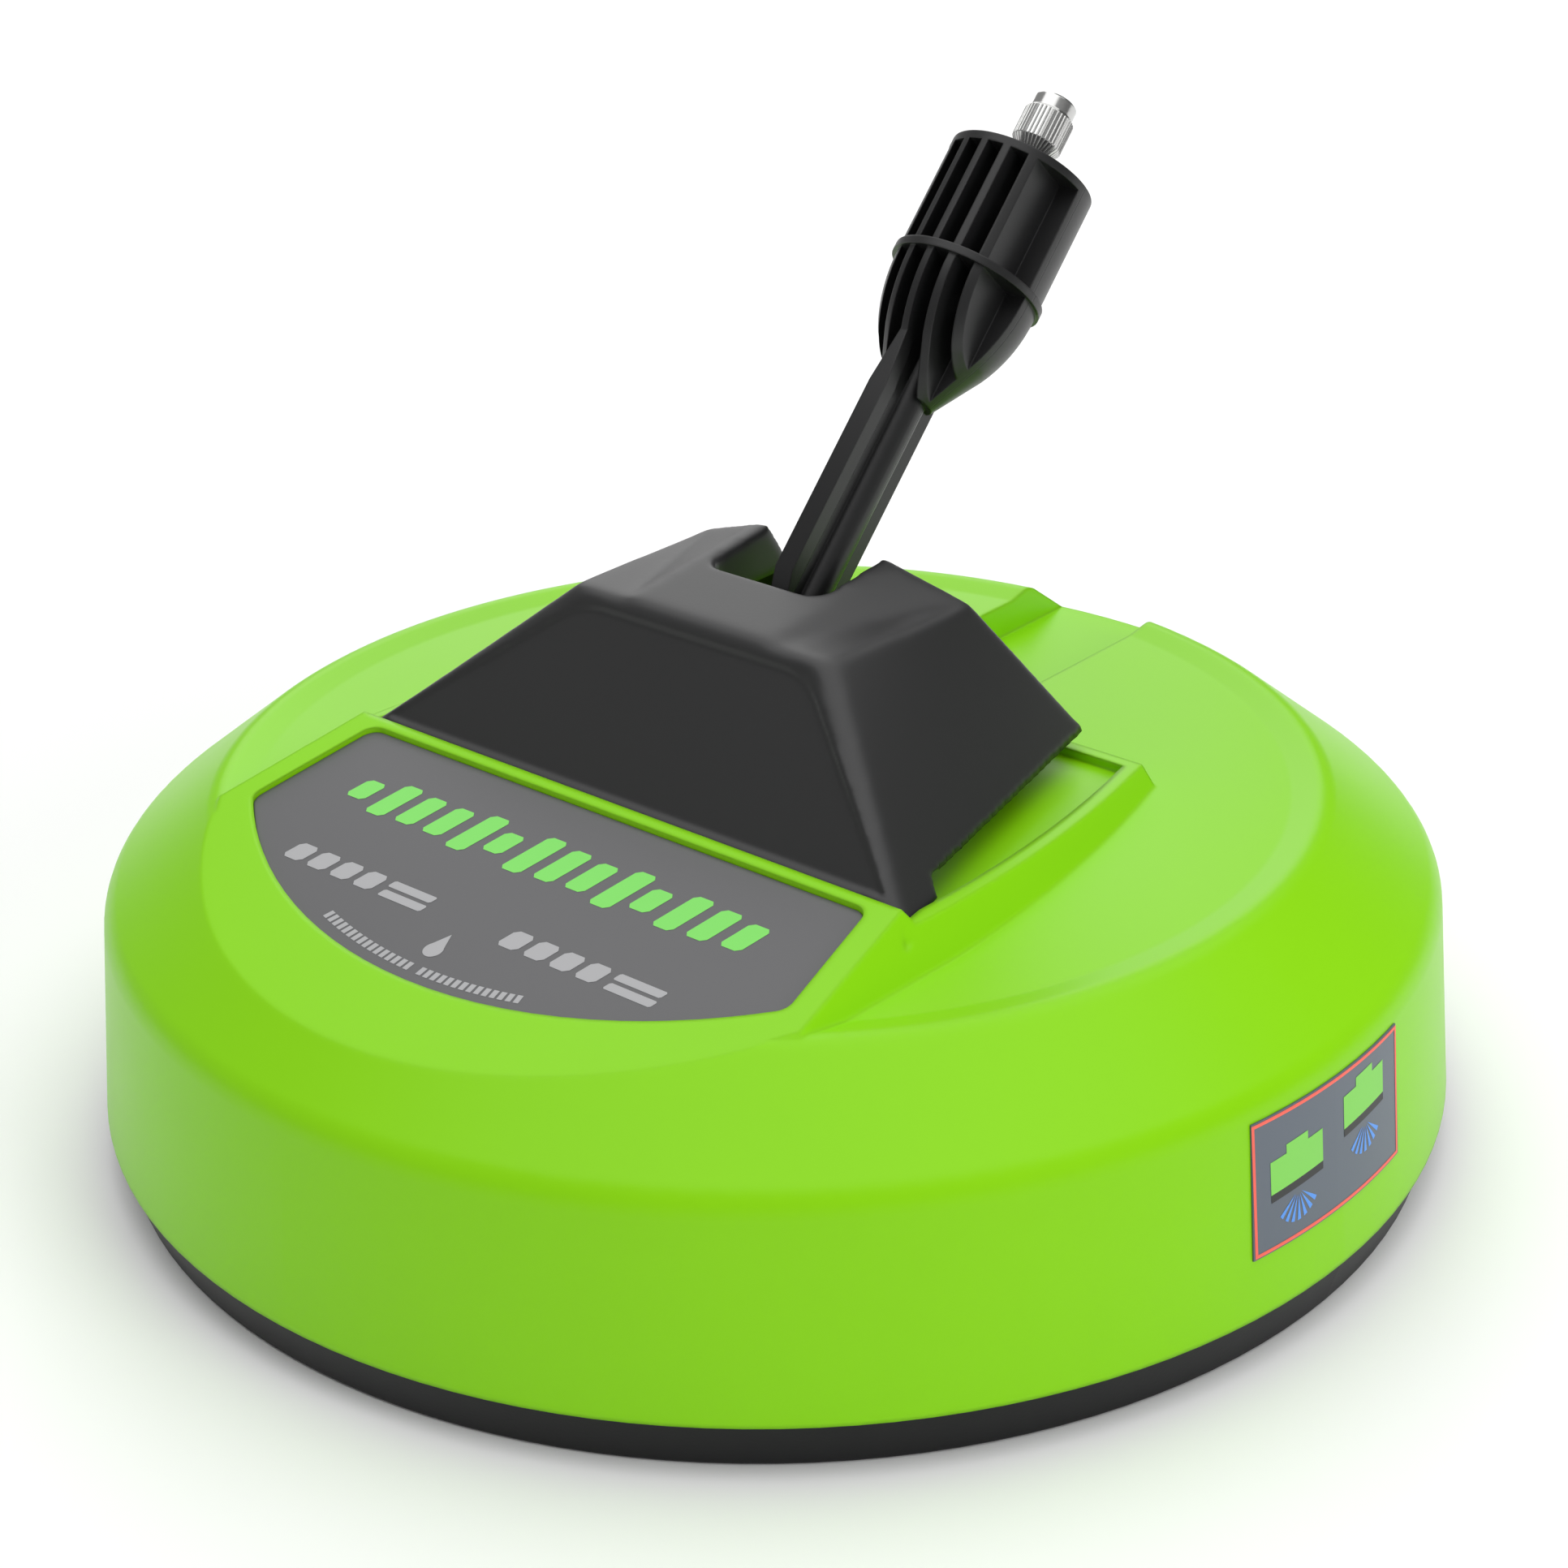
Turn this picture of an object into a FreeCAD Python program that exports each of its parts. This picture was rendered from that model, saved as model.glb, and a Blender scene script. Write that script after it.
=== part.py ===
"""Surface cleaner for a pressure washer: deck, cover, tilting wand and water-driven spray arm.

Millimetres, +Z up. The origin is the middle of the skirt's bottom edge. The badge faces -Y and the wand
leans back towards +Y.
"""
import FreeCAD, Part
import math
import os

V = FreeCAD.Vector

# ---- deck (shroud) -----------------------------------------------------------------------------
skirt_height = 12.0          # black ring that shows under the deck's wall
wall_foot_radius = 158.0     # outside of the wall at its lower edge
shoulder_radius = wall_foot_radius - 4.3   # outside of the wall where the brim starts
shoulder_height = 61.0
shoulder_fillet = 8.0
ridge_fillet = 5.0
ridge_radius = wall_foot_radius - 31.0     # crest between the brim and the dish
ridge_height = 82.2
dish_height = 80.6
dish_fall_width = 8.0        # the dish falls from the crest to its floor over this width
deck_wall = 3.0
small = 1e-6                 # lengths under this count as nothing

# ---- island in the dish, which carries the badge and the cover ----------------------------------
island_rear = 48.0
island_rear_half = 64.0
island_side_half = 79.5
island_side_y = -5.0
island_front_half = 83.0
island_front_y = -46.0
island_corner_half = 82.0
island_corner_y = -90.0
island_top = 88.0            # level at which the outline above is measured
island_rear_run = 12.0       # the side walls run on this far past the rear wall before it cuts them off
island_rear_drop = 3.0       # fall of the band from its front to its rear
island_step_run = 1.6        # width and height of the step between the front face and the band
island_step_rise = 0.6
island_draft = 0.8           # the side wall's run for each millimetre of height
island_floor = 83.0          # recess under the cover
island_lip = 3.6             # width of the flat band round the recess
front_slope = 0.2206         # fall of the badge's face towards the front
front_top_y = -52.0
front_top_height = 91.6

# ---- badge and side label -----------------------------------------------------------------------
badge_top_half = 73.9
badge_top_y = -55.0
badge_low_half = 79.5
badge_low_y = -87.6
badge_thickness = 1.5
badge_sink = 1.2             # the plate's face lies this much under the rim
badge_corner = 4.0
badge_gap = 0.15
label_width = 54.0
label_low = 26.0
label_high = 57.0
label_thickness = 0.4
label_turn = -1.0            # degrees from +X

# ---- wand channel in the deck --------------------------------------------------------------------
channel_half = 17.0
channel_draft = 0.2
channel_floor = 73.0
channel_bend = wall_foot_radius - 25.0
channel_fall = 0.36

# ---- pivot ----------------------------------------------------------------------------------------
pivot_height = 104.0
wand_lean = 44.0

# ---- cover ----------------------------------------------------------------------------------------
cover_low = 88.6
cover_high = pivot_height + 21.5
cover_low_front = -53.1
cover_low_front_half = 80.0
cover_low_rear = 48.0
cover_low_rear_half = 56.0
cover_high_front = -24.0
cover_high_front_half = 37.0
cover_high_rear = 24.0
cover_high_rear_half = 38.5
cover_wall = 2.5
cover_gap = 1.0
cover_foot = 86.2            # the two front pillars reach down to this level
cover_edge = 89.6            # lower edge of the side walls and the rear wall
foot_rear_y = -35.0          # behind this a notch lifts the side wall's edge from the foot's level
foot_inner_half = 74.0
notch_corner = 3.0
pillar_fillet = 5.0
panel_depth = 0.8            # flat panel let into the front face
panel_low = 3.8              # its lower and upper edges, measured up the face from the level cover_low
panel_high = 43.6
panel_low_half = 75.1
panel_high_half = 33.4
panel_low_corner = 3.0
panel_high_corner = 7.0
roof_height = pivot_height + 24.7          # roof over the pivot
roof_room = 14.0             # the cover's block is made this much too high, then cut to the roof
rail_low = pivot_height + 14.0             # lower edge of the wall round the slot
cover_recess = 0.8           # the deck's recess reaches this far below the cover's feet
roof_slope = 0.116
horn_half = 20.4             # the roof is highest along these lines beside the slot
horn_fall = 0.393
shelf_fall = 0.023           # the flat shelf beside the spine falls this much towards the rear
slot_half = 16.5
slot_front = -2.3
slot_corner = 5.0

# ---- wand -----------------------------------------------------------------------------------------
disc_top = 135.0
disc_thickness = 2.0
ring_low = 104.0
ring_thickness = 2.0
head_radius = 18.0
ring_radius = head_radius + 0.9
ogive_low = 72.8
ogive_low_radius = 6.2
ogive_mid = 85.3
ogive_mid_radius = 13.5
ogive_bulge = 94.0
ogive_bulge_radius = 16.8
rib_pitch = 5.77
rib_thickness = 1.8
rib_count_each_side = 2
parting_thickness = 2.0
shell_wall = 2.0
stem_radius = 4.5
stem_bar_half = 2.5
stem_front_bar_low = 9.1
stem_front_bar_high = 13.2
stem_web_half = 0.9
stem_back_bar = 7.7
stem_start = 13.0
stem_bar_full = 22.0         # the front bar has its full depth above this
hub_radius = 8.5
hub_half = 13.2
lance_radius = 3.0
lance_bore = 1.8

# ---- quick-connect plug ---------------------------------------------------------------------------
plug_length = 19.6
plug_flange_radius = 5.2
plug_neck_radius = 4.1
plug_collar_radius = 5.95
plug_collar_low = 7.8
plug_collar_high = 15.5
plug_end_radius = 5.25
plug_seat_depth = 6.0

# ---- trunnion and yoke ----------------------------------------------------------------------------
trunnion_radius = 5.0
trunnion_bore = 2.0
trunnion_half = 20.0
trunnion_boss_radius = 5.6
trunnion_boss_length = 12.0
seal_groove_radius = 3.8
seal_groove_width = 2.4
seal_groove_x = 17.0
running_gap = 0.05           # radial, for shafts and pins
side_gap = 0.3               # between faces that slide past each other
yoke_arm_inner = 13.5
yoke_arm_outer = 24.0
yoke_arm_half = 9.0
yoke_base_radius = 24.0
yoke_base_thickness = 5.0
yoke_plug_length = 3.6
yoke_plug_head = 3.0
yoke_plug_head_radius = 7.0
hex_key_radius = 3.0
hex_key_seat = 1.0
water_way_radius = 1.2       # drilled ways inside the yoke
water_way_rise = 3.0         # height of the cross way above the yoke's foot

# ---- swivel housing, bushes, seal -----------------------------------------------------------------
housing_flange_thickness = 4.0
housing_radius = 14.0
housing_low = 45.0
neck_radius = 9.0
neck_gap = 0.2
neck_rise = 1.5              # the housing's neck stands this far into the yoke
gallery_radius = 3.0
bush_radius = 8.0
bush_share = 0.31            # each bush's share of the bore under the seal's upper face
seal_length = 3.5
seal_shelf = 2.0             # metal left above the seal
retainer_thickness = 4.0
retainer_bore_gap = 0.6

# ---- rotor ----------------------------------------------------------------------------------------
shaft_radius = 6.0
shaft_bore = 2.0
circlip_radius = 7.4
circlip_thickness = 1.3
circlip_groove_radius = 5.2
washer_thickness = 1.0
hub_top_gap = 1.0
spray_hub_radius = 15.0
spray_hub_height = 17.0
spray_hub_cap_length = 5.0
spray_hub_cap_head = 3.0
arm_rise = 8.0               # height of the arms above the hub's foot
arm_height = housing_low - retainer_thickness - hub_top_gap - spray_hub_height + arm_rise
arm_radius = 5.0
arm_bore = 2.5
arm_seat = 6.0               # length of the arm's end inside the hub and inside the nozzle body
nozzle_reach = wall_foot_radius - 34.0
nozzle_body_radius = 7.5
nozzle_body_half = 9.0
nozzle_tip_radius = 5.0
nozzle_tip_length = 7.0
nozzle_seat = 4.0
nozzle_tilt = 12.0           # the jets push the rotor round

# ---- skirt ring and screws ------------------------------------------------------------------------
skirt_foot_radius = wall_foot_radius - 4.0
skirt_foot_chamfer = 0.8
skirt_setback = 0.6          # the ring's top edge lies this far inside the deck's wall
skirt_thickness = 4.0
spigot_height = 7.0
spigot_gap = 0.2
skirt_screw_count = 6
skirt_screw_circle = wall_foot_radius - 13.0
post_radius = 5.0
post_web_half = 1.5
post_high = 56.0
lug_height = 4.0
screw_radius = 1.75
screw_head_radius = 3.5
screw_head_height = 2.2
screw_length = 14.0
screw_clearance = 0.35
yoke_screw_count = 4
yoke_screw_circle = 18.5
yoke_screw_radius = 2.0
cover_screw_places = ((-52.0, -36.0), (52.0, -36.0), (-45.0, 31.0), (45.0, 31.0))
cover_boss_radius = 4.0
small_screw_radius = 1.25
small_head_radius = 2.4
small_head_height = 1.5
wand_screw_heights = (96.0, 123.0)
wand_screw_seat = 6.0        # behind the parting face
wand_screw_length = 12.0

big = 400.0


# ---- plain solids ---------------------------------------------------------------------------------
def rod(radius, start, end):
    run = end - start
    return Part.makeCylinder(radius, run.Length, start, run)


def pipe(outer, inner, start, end):
    return rod(outer, start, end).cut(rod(inner, start, end))


def post(radius, low, high, x=0.0, y=0.0):
    return rod(radius, V(x, y, low), V(x, y, high))


def block(x0, x1, y0, y1, z0, z1):
    return Part.makeBox(x1 - x0, y1 - y0, z1 - z0, V(x0, y0, z0))


def lathe(outline_points):
    """Turn a closed outline in the XZ plane round the Z axis."""
    points = [V(r, 0.0, z) for r, z in outline_points]
    outline = Part.makePolygon(points + points[:1])
    return Part.Face(outline).revolve(V(0, 0, 0), V(0, 0, 1), 360)


def side_prism(yz_points):
    """Prism across the whole width whose outline is given in the YZ plane."""
    points = [V(-big, y, z) for y, z in yz_points]
    return Part.Face(Part.makePolygon(points + points[:1])).extrude(V(2 * big, 0, 0))


def around(shape, count, first=0.0):
    """Copies of a shape spread evenly round the Z axis."""
    copies = []
    for index in range(count):
        copy = shape.copy()
        copy.rotate(V(0, 0, 0), V(0, 0, 1), first + 360.0 * index / count)
        copies.append(copy)
    return copies


def mirrored(shape):
    return shape.mirror(V(0, 0, 0), V(1, 0, 0))


def screw(radius, head_radius, head_height, length):
    """Screw that points up, with the underside of its head at the origin."""
    head = rod(head_radius, V(0, 0, -head_height), V(0, 0, 0))
    recess = Part.makeBox(head_radius, 0.8, head_height / 2, V(-head_radius / 2, -0.4, -head_height))
    cross = recess.copy()
    cross.rotate(V(0, 0, 0), V(0, 0, 1), 90)
    shank = rod(radius, V(0, 0, 0), V(0, 0, length))
    return head.fuse(shank).removeSplitter().cut(recess.fuse(cross))


def moved(shape, x, y, z):
    copy = shape.copy()
    copy.translate(V(x, y, z))
    return copy


# ---- deck -----------------------------------------------------------------------------------------
def wall_radius(z):
    """Outside radius of the deck's wall at a height."""
    share = (z - skirt_height) / (shoulder_height - skirt_height)
    return wall_foot_radius + share * (shoulder_radius - wall_foot_radius)


def brim_height(radius):
    """Height of the brim's cone at a radius."""
    slope = (ridge_height - shoulder_height) / (shoulder_radius - ridge_radius)
    return ridge_height + slope * (ridge_radius - radius)


def front_height(y, drop=0.0):
    """Height of the sloping front face, or of a face parallel to it below."""
    return front_top_height + front_slope * (y - front_top_y) - drop


def deck_outside():
    turned = lathe([
        (0.0, skirt_height),
        (wall_foot_radius, skirt_height),
        (shoulder_radius, shoulder_height),
        (ridge_radius, ridge_height),
        (ridge_radius - dish_fall_width, dish_height),
        (0.0, dish_height),
    ])
    shoulder = [edge for edge in turned.Edges
                if edge.BoundBox.ZLength < 0.01 and abs(edge.BoundBox.ZMax - shoulder_height) < 0.01]
    turned = turned.makeFillet(shoulder_fillet, shoulder)
    ridge = [edge for edge in turned.Edges
             if edge.BoundBox.ZLength < 0.01 and abs(edge.BoundBox.ZMax - ridge_height) < 0.01]
    turned = turned.makeFillet(ridge_fillet, ridge)
    above_front = side_prism([
        (-big, front_height(-big)),
        (badge_top_y, front_height(badge_top_y)),
        (badge_top_y, big),
        (-big, big),
    ])
    return turned.cut(above_front)


def deck_inside():
    rise = deck_wall * math.hypot(1.0, (ridge_height - shoulder_height) / (shoulder_radius - ridge_radius))
    ceiling = dish_height - deck_wall
    slope = (ridge_height - shoulder_height) / (shoulder_radius - ridge_radius)
    cone_end = ridge_radius + (ridge_height - rise - ceiling) / slope
    inner_shoulder = shoulder_radius - deck_wall
    turned = lathe([
        (0.0, skirt_height - 1.0),
        (wall_radius(skirt_height - 1.0) - deck_wall, skirt_height - 1.0),
        (wall_radius(brim_height(inner_shoulder) - rise) - deck_wall, brim_height(inner_shoulder) - rise),
        (cone_end, ceiling),
        (0.0, ceiling),
    ])
    above_front = side_prism([
        (-big, front_height(-big, front_drop())),
        (badge_top_y, front_height(badge_top_y, front_drop())),
        (badge_top_y, big),
        (-big, big),
    ])
    return turned.cut(above_front)


def front_drop():
    """Depth of the deck's inner face under its sloping front."""
    return deck_wall + badge_sink + badge_thickness


def island_outline(height, inset=0.0):
    """Island's outline at a height, drawn in from its outer wall by an inset."""
    def point(x, y):
        return V(x, y, height)
    front_radius = math.hypot(island_corner_half, island_corner_y)
    rear_y = island_rear + island_rear_run
    right = [
        Part.Arc(point(island_rear_half, rear_y), point(island_side_half, island_side_y),
                 point(island_front_half, island_front_y)).toShape(),
        Part.makeLine(point(island_front_half, island_front_y), point(island_corner_half, island_corner_y)),
    ]
    front = Part.Arc(point(island_corner_half, island_corner_y), point(0, -front_radius),
                     point(-island_corner_half, island_corner_y)).toShape()
    left = [
        Part.makeLine(point(-island_corner_half, island_corner_y),
                      point(-island_front_half, island_front_y)),
        Part.Arc(point(-island_front_half, island_front_y), point(-island_side_half, island_side_y),
                 point(-island_rear_half, rear_y)).toShape(),
    ]
    rear = Part.makeLine(point(-island_rear_half, rear_y), point(island_rear_half, rear_y))
    wire = Part.Wire(right + [front] + left + [rear])
    grow = island_draft * (island_top - height) - inset
    if abs(grow) < small:
        return wire
    return wire.makeOffset2D(grow, 2)


def island_block(low, high, inset=0.0):
    """Island's drafted block between two heights, cut off square at its rear."""
    body = Part.makeLoft([island_outline(low, inset), island_outline(high, inset)], True, True)
    return body.cut(block(-big, big, island_rear - inset, big, 0, big))


def island_outside():
    profile = side_prism([
        (-big, front_height(-big)),
        (front_top_y, front_height(front_top_y)),
        (front_top_y + island_step_run, island_top + island_step_rise),
        (island_rear, island_top - island_rear_drop),
        (island_rear, 0),
        (-big, 0),
    ])
    return island_block(dish_height - 4.0, front_top_height + 1.0).common(profile)


def island_inside():
    drop = front_drop()
    profile = side_prism([
        (-big, front_height(-big, drop)),
        (front_top_y - deck_wall, front_height(front_top_y - deck_wall, drop)),
        (front_top_y - deck_wall, island_floor - deck_wall),
        (island_rear, island_floor - deck_wall),
        (island_rear, 0),
        (-big, 0),
    ])
    return island_block(dish_height - 5.0, front_top_height, deck_wall).common(profile)


def island_recess():
    """Room inside the island's band, under the cover and round its two front corners."""
    floor = island_block(island_floor, front_top_height + 4.0, island_lip)
    floor = floor.cut(block(-big, big, -big, front_top_y + island_step_rise, 0, big))
    return floor.fuse(cover_body(-cover_gap, cover_foot - cover_recess, front_top_height + roof_room))


def channel_start():
    """The channel's inner end keeps its wall clear of the swivel housing's flange."""
    return yoke_base_radius + deck_wall + side_gap


def channel(spread=0.0):
    """Wand channel, or the same space with a wall's thickness added round it."""
    top = dish_height + 30.0
    half_low = channel_half + spread
    half_top = half_low + channel_draft * (top - channel_floor)
    low = channel_floor - spread
    across = [
        V(-half_low, -big, low),
        V(half_low, -big, low),
        V(half_top, -big, top),
        V(-half_top, -big, top),
    ]
    trough = Part.Face(Part.makePolygon(across + across[:1])).extrude(V(0, 2 * big, 0))
    end = wall_foot_radius + 20.0
    along = side_prism([
        (channel_start() - spread, low),
        (channel_bend, low),
        (end, low - channel_fall * (end - channel_bend)),
        (end, big),
        (channel_start() - spread, big),
    ])
    return trough.common(along)


def badge_outline(inset, z):
    """Badge outline: straight top edge, short angled sides and an arc below."""
    low_radius = math.hypot(badge_low_half, badge_low_y)
    top_left = V(-badge_top_half, badge_top_y, z)
    top_right = V(badge_top_half, badge_top_y, z)
    low_right = V(badge_low_half, badge_low_y, z)
    low_left = V(-badge_low_half, badge_low_y, z)
    edges = [
        Part.makeLine(top_left, top_right),
        Part.makeLine(top_right, low_right),
        Part.Arc(low_right, V(0, -low_radius, z), low_left).toShape(),
        Part.makeLine(low_left, top_left),
    ]
    wire = Part.Wire(edges)
    if abs(inset) < small:
        return wire
    return wire.makeOffset2D(-inset, 2)


def badge_space(inset, top_drop, low_drop):
    """Space of the badge's outline between two planes parallel to the front face."""
    column = Part.Face(badge_outline(inset, 0.0)).extrude(V(0, 0, big))
    upright = [edge for edge in column.Edges if edge.BoundBox.ZLength > big / 2]
    column = column.makeFillet(badge_corner - inset, upright)
    low_y = -2.0 * shoulder_radius
    slab = side_prism([
        (low_y, front_height(low_y, top_drop)),
        (0.0, front_height(0.0, top_drop)),
        (0.0, front_height(0.0, low_drop)),
        (low_y, front_height(low_y, low_drop)),
    ])
    return column.common(slab)


def badge_plate():
    return badge_space(badge_gap, badge_sink, badge_sink + badge_thickness)


def skirt_screw_angle():
    return 180.0 / skirt_screw_count


def shroud():
    outside = deck_outside().fuse(island_outside())
    inside = deck_inside().fuse(island_inside()).cut(channel(deck_wall))
    body = outside.cut(inside)
    posts = post(post_radius, skirt_height + spigot_height + side_gap, post_high, skirt_screw_circle)
    web = block(skirt_screw_circle, wall_foot_radius, -post_web_half, post_web_half,
                skirt_height + spigot_height + side_gap, post_high)
    for one in around(posts.fuse(web), skirt_screw_count, skirt_screw_angle()):
        body = body.fuse(one.common(outside))
    body = body.cut(channel()).cut(island_recess()).cut(badge_space(0.0, -4.0, badge_sink + badge_thickness))
    holes = [post(neck_radius + neck_gap, 0, big)]
    holes += around(post(yoke_screw_radius + screw_clearance, housing_low, big, yoke_screw_circle),
                    yoke_screw_count, 45.0)
    holes += around(post(screw_radius, skirt_height, screw_tip(), skirt_screw_circle),
                    skirt_screw_count, skirt_screw_angle())
    for x, y in cover_screw_places:
        holes.append(post(screw_radius + screw_clearance, housing_low, big, x, y))
    for hole in holes:
        body = body.cut(hole)
    return body.removeSplitter()


def side_label():
    """Thin label wrapped on the right-hand wall."""
    half_angle = math.degrees(label_width / 2 / shoulder_radius)
    skin = lathe([
        (wall_radius(label_low), label_low),
        (wall_radius(label_low) + label_thickness, label_low),
        (wall_radius(label_high) + label_thickness, label_high),
        (wall_radius(label_high), label_high),
    ])
    far = 2.0 * wall_foot_radius
    low_side = V(far * math.cos(math.radians(half_angle)), -far * math.sin(math.radians(half_angle)), 0)
    high_side = V(low_side.x, -low_side.y, 0)
    wedge = Part.Face(Part.makePolygon([V(0, 0, 0), low_side, high_side, V(0, 0, 0)])).extrude(V(0, 0, big))
    label = skin.common(wedge)
    label.rotate(V(0, 0, 0), V(0, 0, 1), label_turn)
    return label


# ---- skirt ring -----------------------------------------------------------------------------------
def skirt_screw_seat():
    return skirt_height + spigot_height - lug_height


def screw_tip():
    return skirt_screw_seat() + screw_length


def skirt_ring():
    spigot_high = skirt_height + spigot_height
    spigot_radius = wall_radius(spigot_high) - deck_wall - spigot_gap
    ring = lathe([
        (skirt_foot_radius - skirt_thickness, 0.0),
        (skirt_foot_radius - skirt_foot_chamfer, 0.0),
        (skirt_foot_radius, skirt_foot_chamfer),
        (wall_foot_radius - skirt_setback, skirt_height - side_gap / 3),
        (spigot_radius, skirt_height - side_gap / 3),
        (spigot_radius, spigot_high),
        (spigot_radius - skirt_thickness, spigot_high),
        (spigot_radius - skirt_thickness, skirt_height - 2.0),
    ])
    lug = post(post_radius + 1.0, skirt_screw_seat(), spigot_high, skirt_screw_circle)
    reach = block(skirt_screw_circle, spigot_radius, -post_radius, post_radius,
                  skirt_screw_seat(), spigot_high)
    keep_in = post(spigot_radius - 0.5, 0, big)
    for one in around(lug.fuse(reach), skirt_screw_count, skirt_screw_angle()):
        ring = ring.fuse(one.common(keep_in))
    for hole in around(post(screw_radius + screw_clearance, 0, big, skirt_screw_circle),
                       skirt_screw_count, skirt_screw_angle()):
        ring = ring.cut(hole)
    return ring.removeSplitter()


def skirt_screws():
    one = screw(screw_radius, screw_head_radius, screw_head_height, screw_length)
    one = moved(one, skirt_screw_circle, 0, skirt_screw_seat())
    return Part.makeCompound(around(one, skirt_screw_count, skirt_screw_angle()))


# ---- cover ----------------------------------------------------------------------------------------
def cover_corners(z, inset):
    """Cover's four corners at a height, on faces that run between its low and its high outline."""
    share = (z - cover_low) / (cover_high - cover_low)
    front = cover_low_front + share * (cover_high_front - cover_low_front) + inset
    rear = cover_low_rear + share * (cover_high_rear - cover_low_rear) - inset
    front_half = cover_low_front_half + share * (cover_high_front_half - cover_low_front_half) - inset
    rear_half = cover_low_rear_half + share * (cover_high_rear_half - cover_low_rear_half) - inset
    return front, rear, front_half, rear_half


def cover_body(inset, low, high):
    """Four-sided tapering block between two heights."""
    wires = []
    for z in (low, high):
        front, rear, front_half, rear_half = cover_corners(z, inset)
        points = [
            V(-front_half, front, z),
            V(front_half, front, z),
            V(rear_half, rear, z),
            V(-rear_half, rear, z),
        ]
        wires.append(Part.makePolygon(points + points[:1]))
    return Part.makeLoft(wires, True, True)


def roof_cutters(drop):
    """Everything above the roof: a spine that rises to the rear, and falls to each side."""
    low_y = -big
    spine = side_prism([
        (low_y, roof_height + roof_slope * low_y - drop),
        (big, roof_height + roof_slope * big - drop),
        (big, 2 * big),
        (low_y, 2 * big),
    ])
    side = Part.makeBox(big, 2 * big, big)
    side.translate(V(0, -big, 0))
    side.rotate(V(0, 0, 0), V(0, 1, 0), math.degrees(math.atan(horn_fall)))
    side.rotate(V(0, 0, 0), V(1, 0, 0), math.degrees(math.atan(roof_slope)))
    side.translate(V(horn_half, 0, roof_height - drop))
    return spine.fuse(side).fuse(mirrored(side))


def cover_slot(spread=0.0):
    """Slot for the wand: closed in front with round corners, open at the rear."""
    slot = block(-slot_half - spread, slot_half + spread, slot_front - spread, big, rail_low - 2.0, big)
    corners = [edge for edge in slot.Edges
               if edge.BoundBox.ZLength > 10 and edge.BoundBox.YMax < slot_front + 1]
    slot = slot.makeFillet(slot_corner, corners)
    rear_opening = block(-slot_half - spread, slot_half + spread, cover_high_rear - 8.0, big, 0, big)
    return slot.fuse(rear_opening)


def above_shelf(drop):
    """Everything above the flat shelf of the roof."""
    middle = cover_high - drop
    return side_prism([
        (-big, middle + shelf_fall * (big + cover_high_front)),
        (big, middle - shelf_fall * (big - cover_high_front)),
        (big, 2 * big),
        (-big, 2 * big),
    ])


def under_roof(body, drop):
    """Part of a body under the roof: under the spine or under the shelf."""
    return body.cut(roof_cutters(drop)).fuse(body.cut(above_shelf(drop))).removeSplitter()


def front_panel():
    """Room of the flat panel let into the cover's front face."""
    run = V(0, cover_high_front - cover_low_front, cover_high - cover_low).normalize()
    out = V(0, -run.z, run.y)
    start = V(0, cover_low_front, cover_low) - out * panel_depth
    corners = [
        start + run * panel_low + V(-panel_low_half, 0, 0),
        start + run * panel_low + V(panel_low_half, 0, 0),
        start + run * panel_high + V(panel_high_half, 0, 0),
        start + run * panel_high + V(-panel_high_half, 0, 0),
    ]
    depth = 4.0 * panel_depth
    room = Part.Face(Part.makePolygon(corners + corners[:1])).extrude(out * depth)
    across = [edge for edge in room.Edges if abs(edge.Length - depth) < small]
    middle = (corners[0].z + corners[2].z) / 2
    room = room.makeFillet(panel_high_corner, [edge for edge in across if edge.CenterOfMass.z > middle])
    across = [edge for edge in room.Edges if abs(edge.Length - depth) < small]
    return room.makeFillet(panel_low_corner, [edge for edge in across if edge.CenterOfMass.z < middle
                                              and abs(edge.CenterOfMass.x) > panel_high_half])


def under_edges():
    """Room under the cover's raised lower edges: behind the feet with a round notch, and between them."""
    behind = block(-big, big, foot_rear_y, big, 0, cover_edge)
    notch = [edge for edge in behind.Edges
             if edge.BoundBox.ZLength < small and edge.BoundBox.YLength < small
             and edge.CenterOfMass.z > 0 and edge.CenterOfMass.y < 0]
    behind = behind.makeFillet(notch_corner, notch)
    return behind.fuse(block(-foot_inner_half, foot_inner_half, -big, foot_rear_y, 0, cover_low))


def cover_outside():
    """Block under the roof, with its two front pillars rounded."""
    body = cover_body(0.0, cover_foot, cover_high + roof_room)
    pillars = [edge for edge in body.Edges if edge.BoundBox.ZLength > 30 and edge.CenterOfMass.y < 0]
    return under_roof(body.makeFillet(pillar_fillet, pillars), 0.0)


def top_cover():
    outside = cover_outside()
    inside = under_roof(cover_body(cover_wall, cover_foot - 1.0, cover_high + roof_room), cover_wall)
    shell = outside.cut(inside).cut(front_panel())
    flange = outside.common(cover_slot(cover_wall)).cut(block(-big, big, -big, big, 0, rail_low))
    shell = shell.fuse(flange).cut(under_edges())
    for x, y in cover_screw_places:
        boss = post(cover_boss_radius, cover_low, cover_high, x, y).common(outside)
        foot = post(cover_boss_radius, island_floor, cover_low, x, y)
        shell = shell.fuse([boss, foot])
    shell = shell.cut(cover_slot())
    for x, y in cover_screw_places:
        shell = shell.cut(post(screw_radius, 0, cover_screw_seat() + screw_length, x, y))
    return shell.removeSplitter()


def cover_screw_seat():
    return island_floor - deck_wall


def cover_screws():
    one = screw(screw_radius, screw_head_radius, screw_head_height, screw_length)
    return Part.makeCompound([moved(one, x, y, cover_screw_seat()) for x, y in cover_screw_places])


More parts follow.
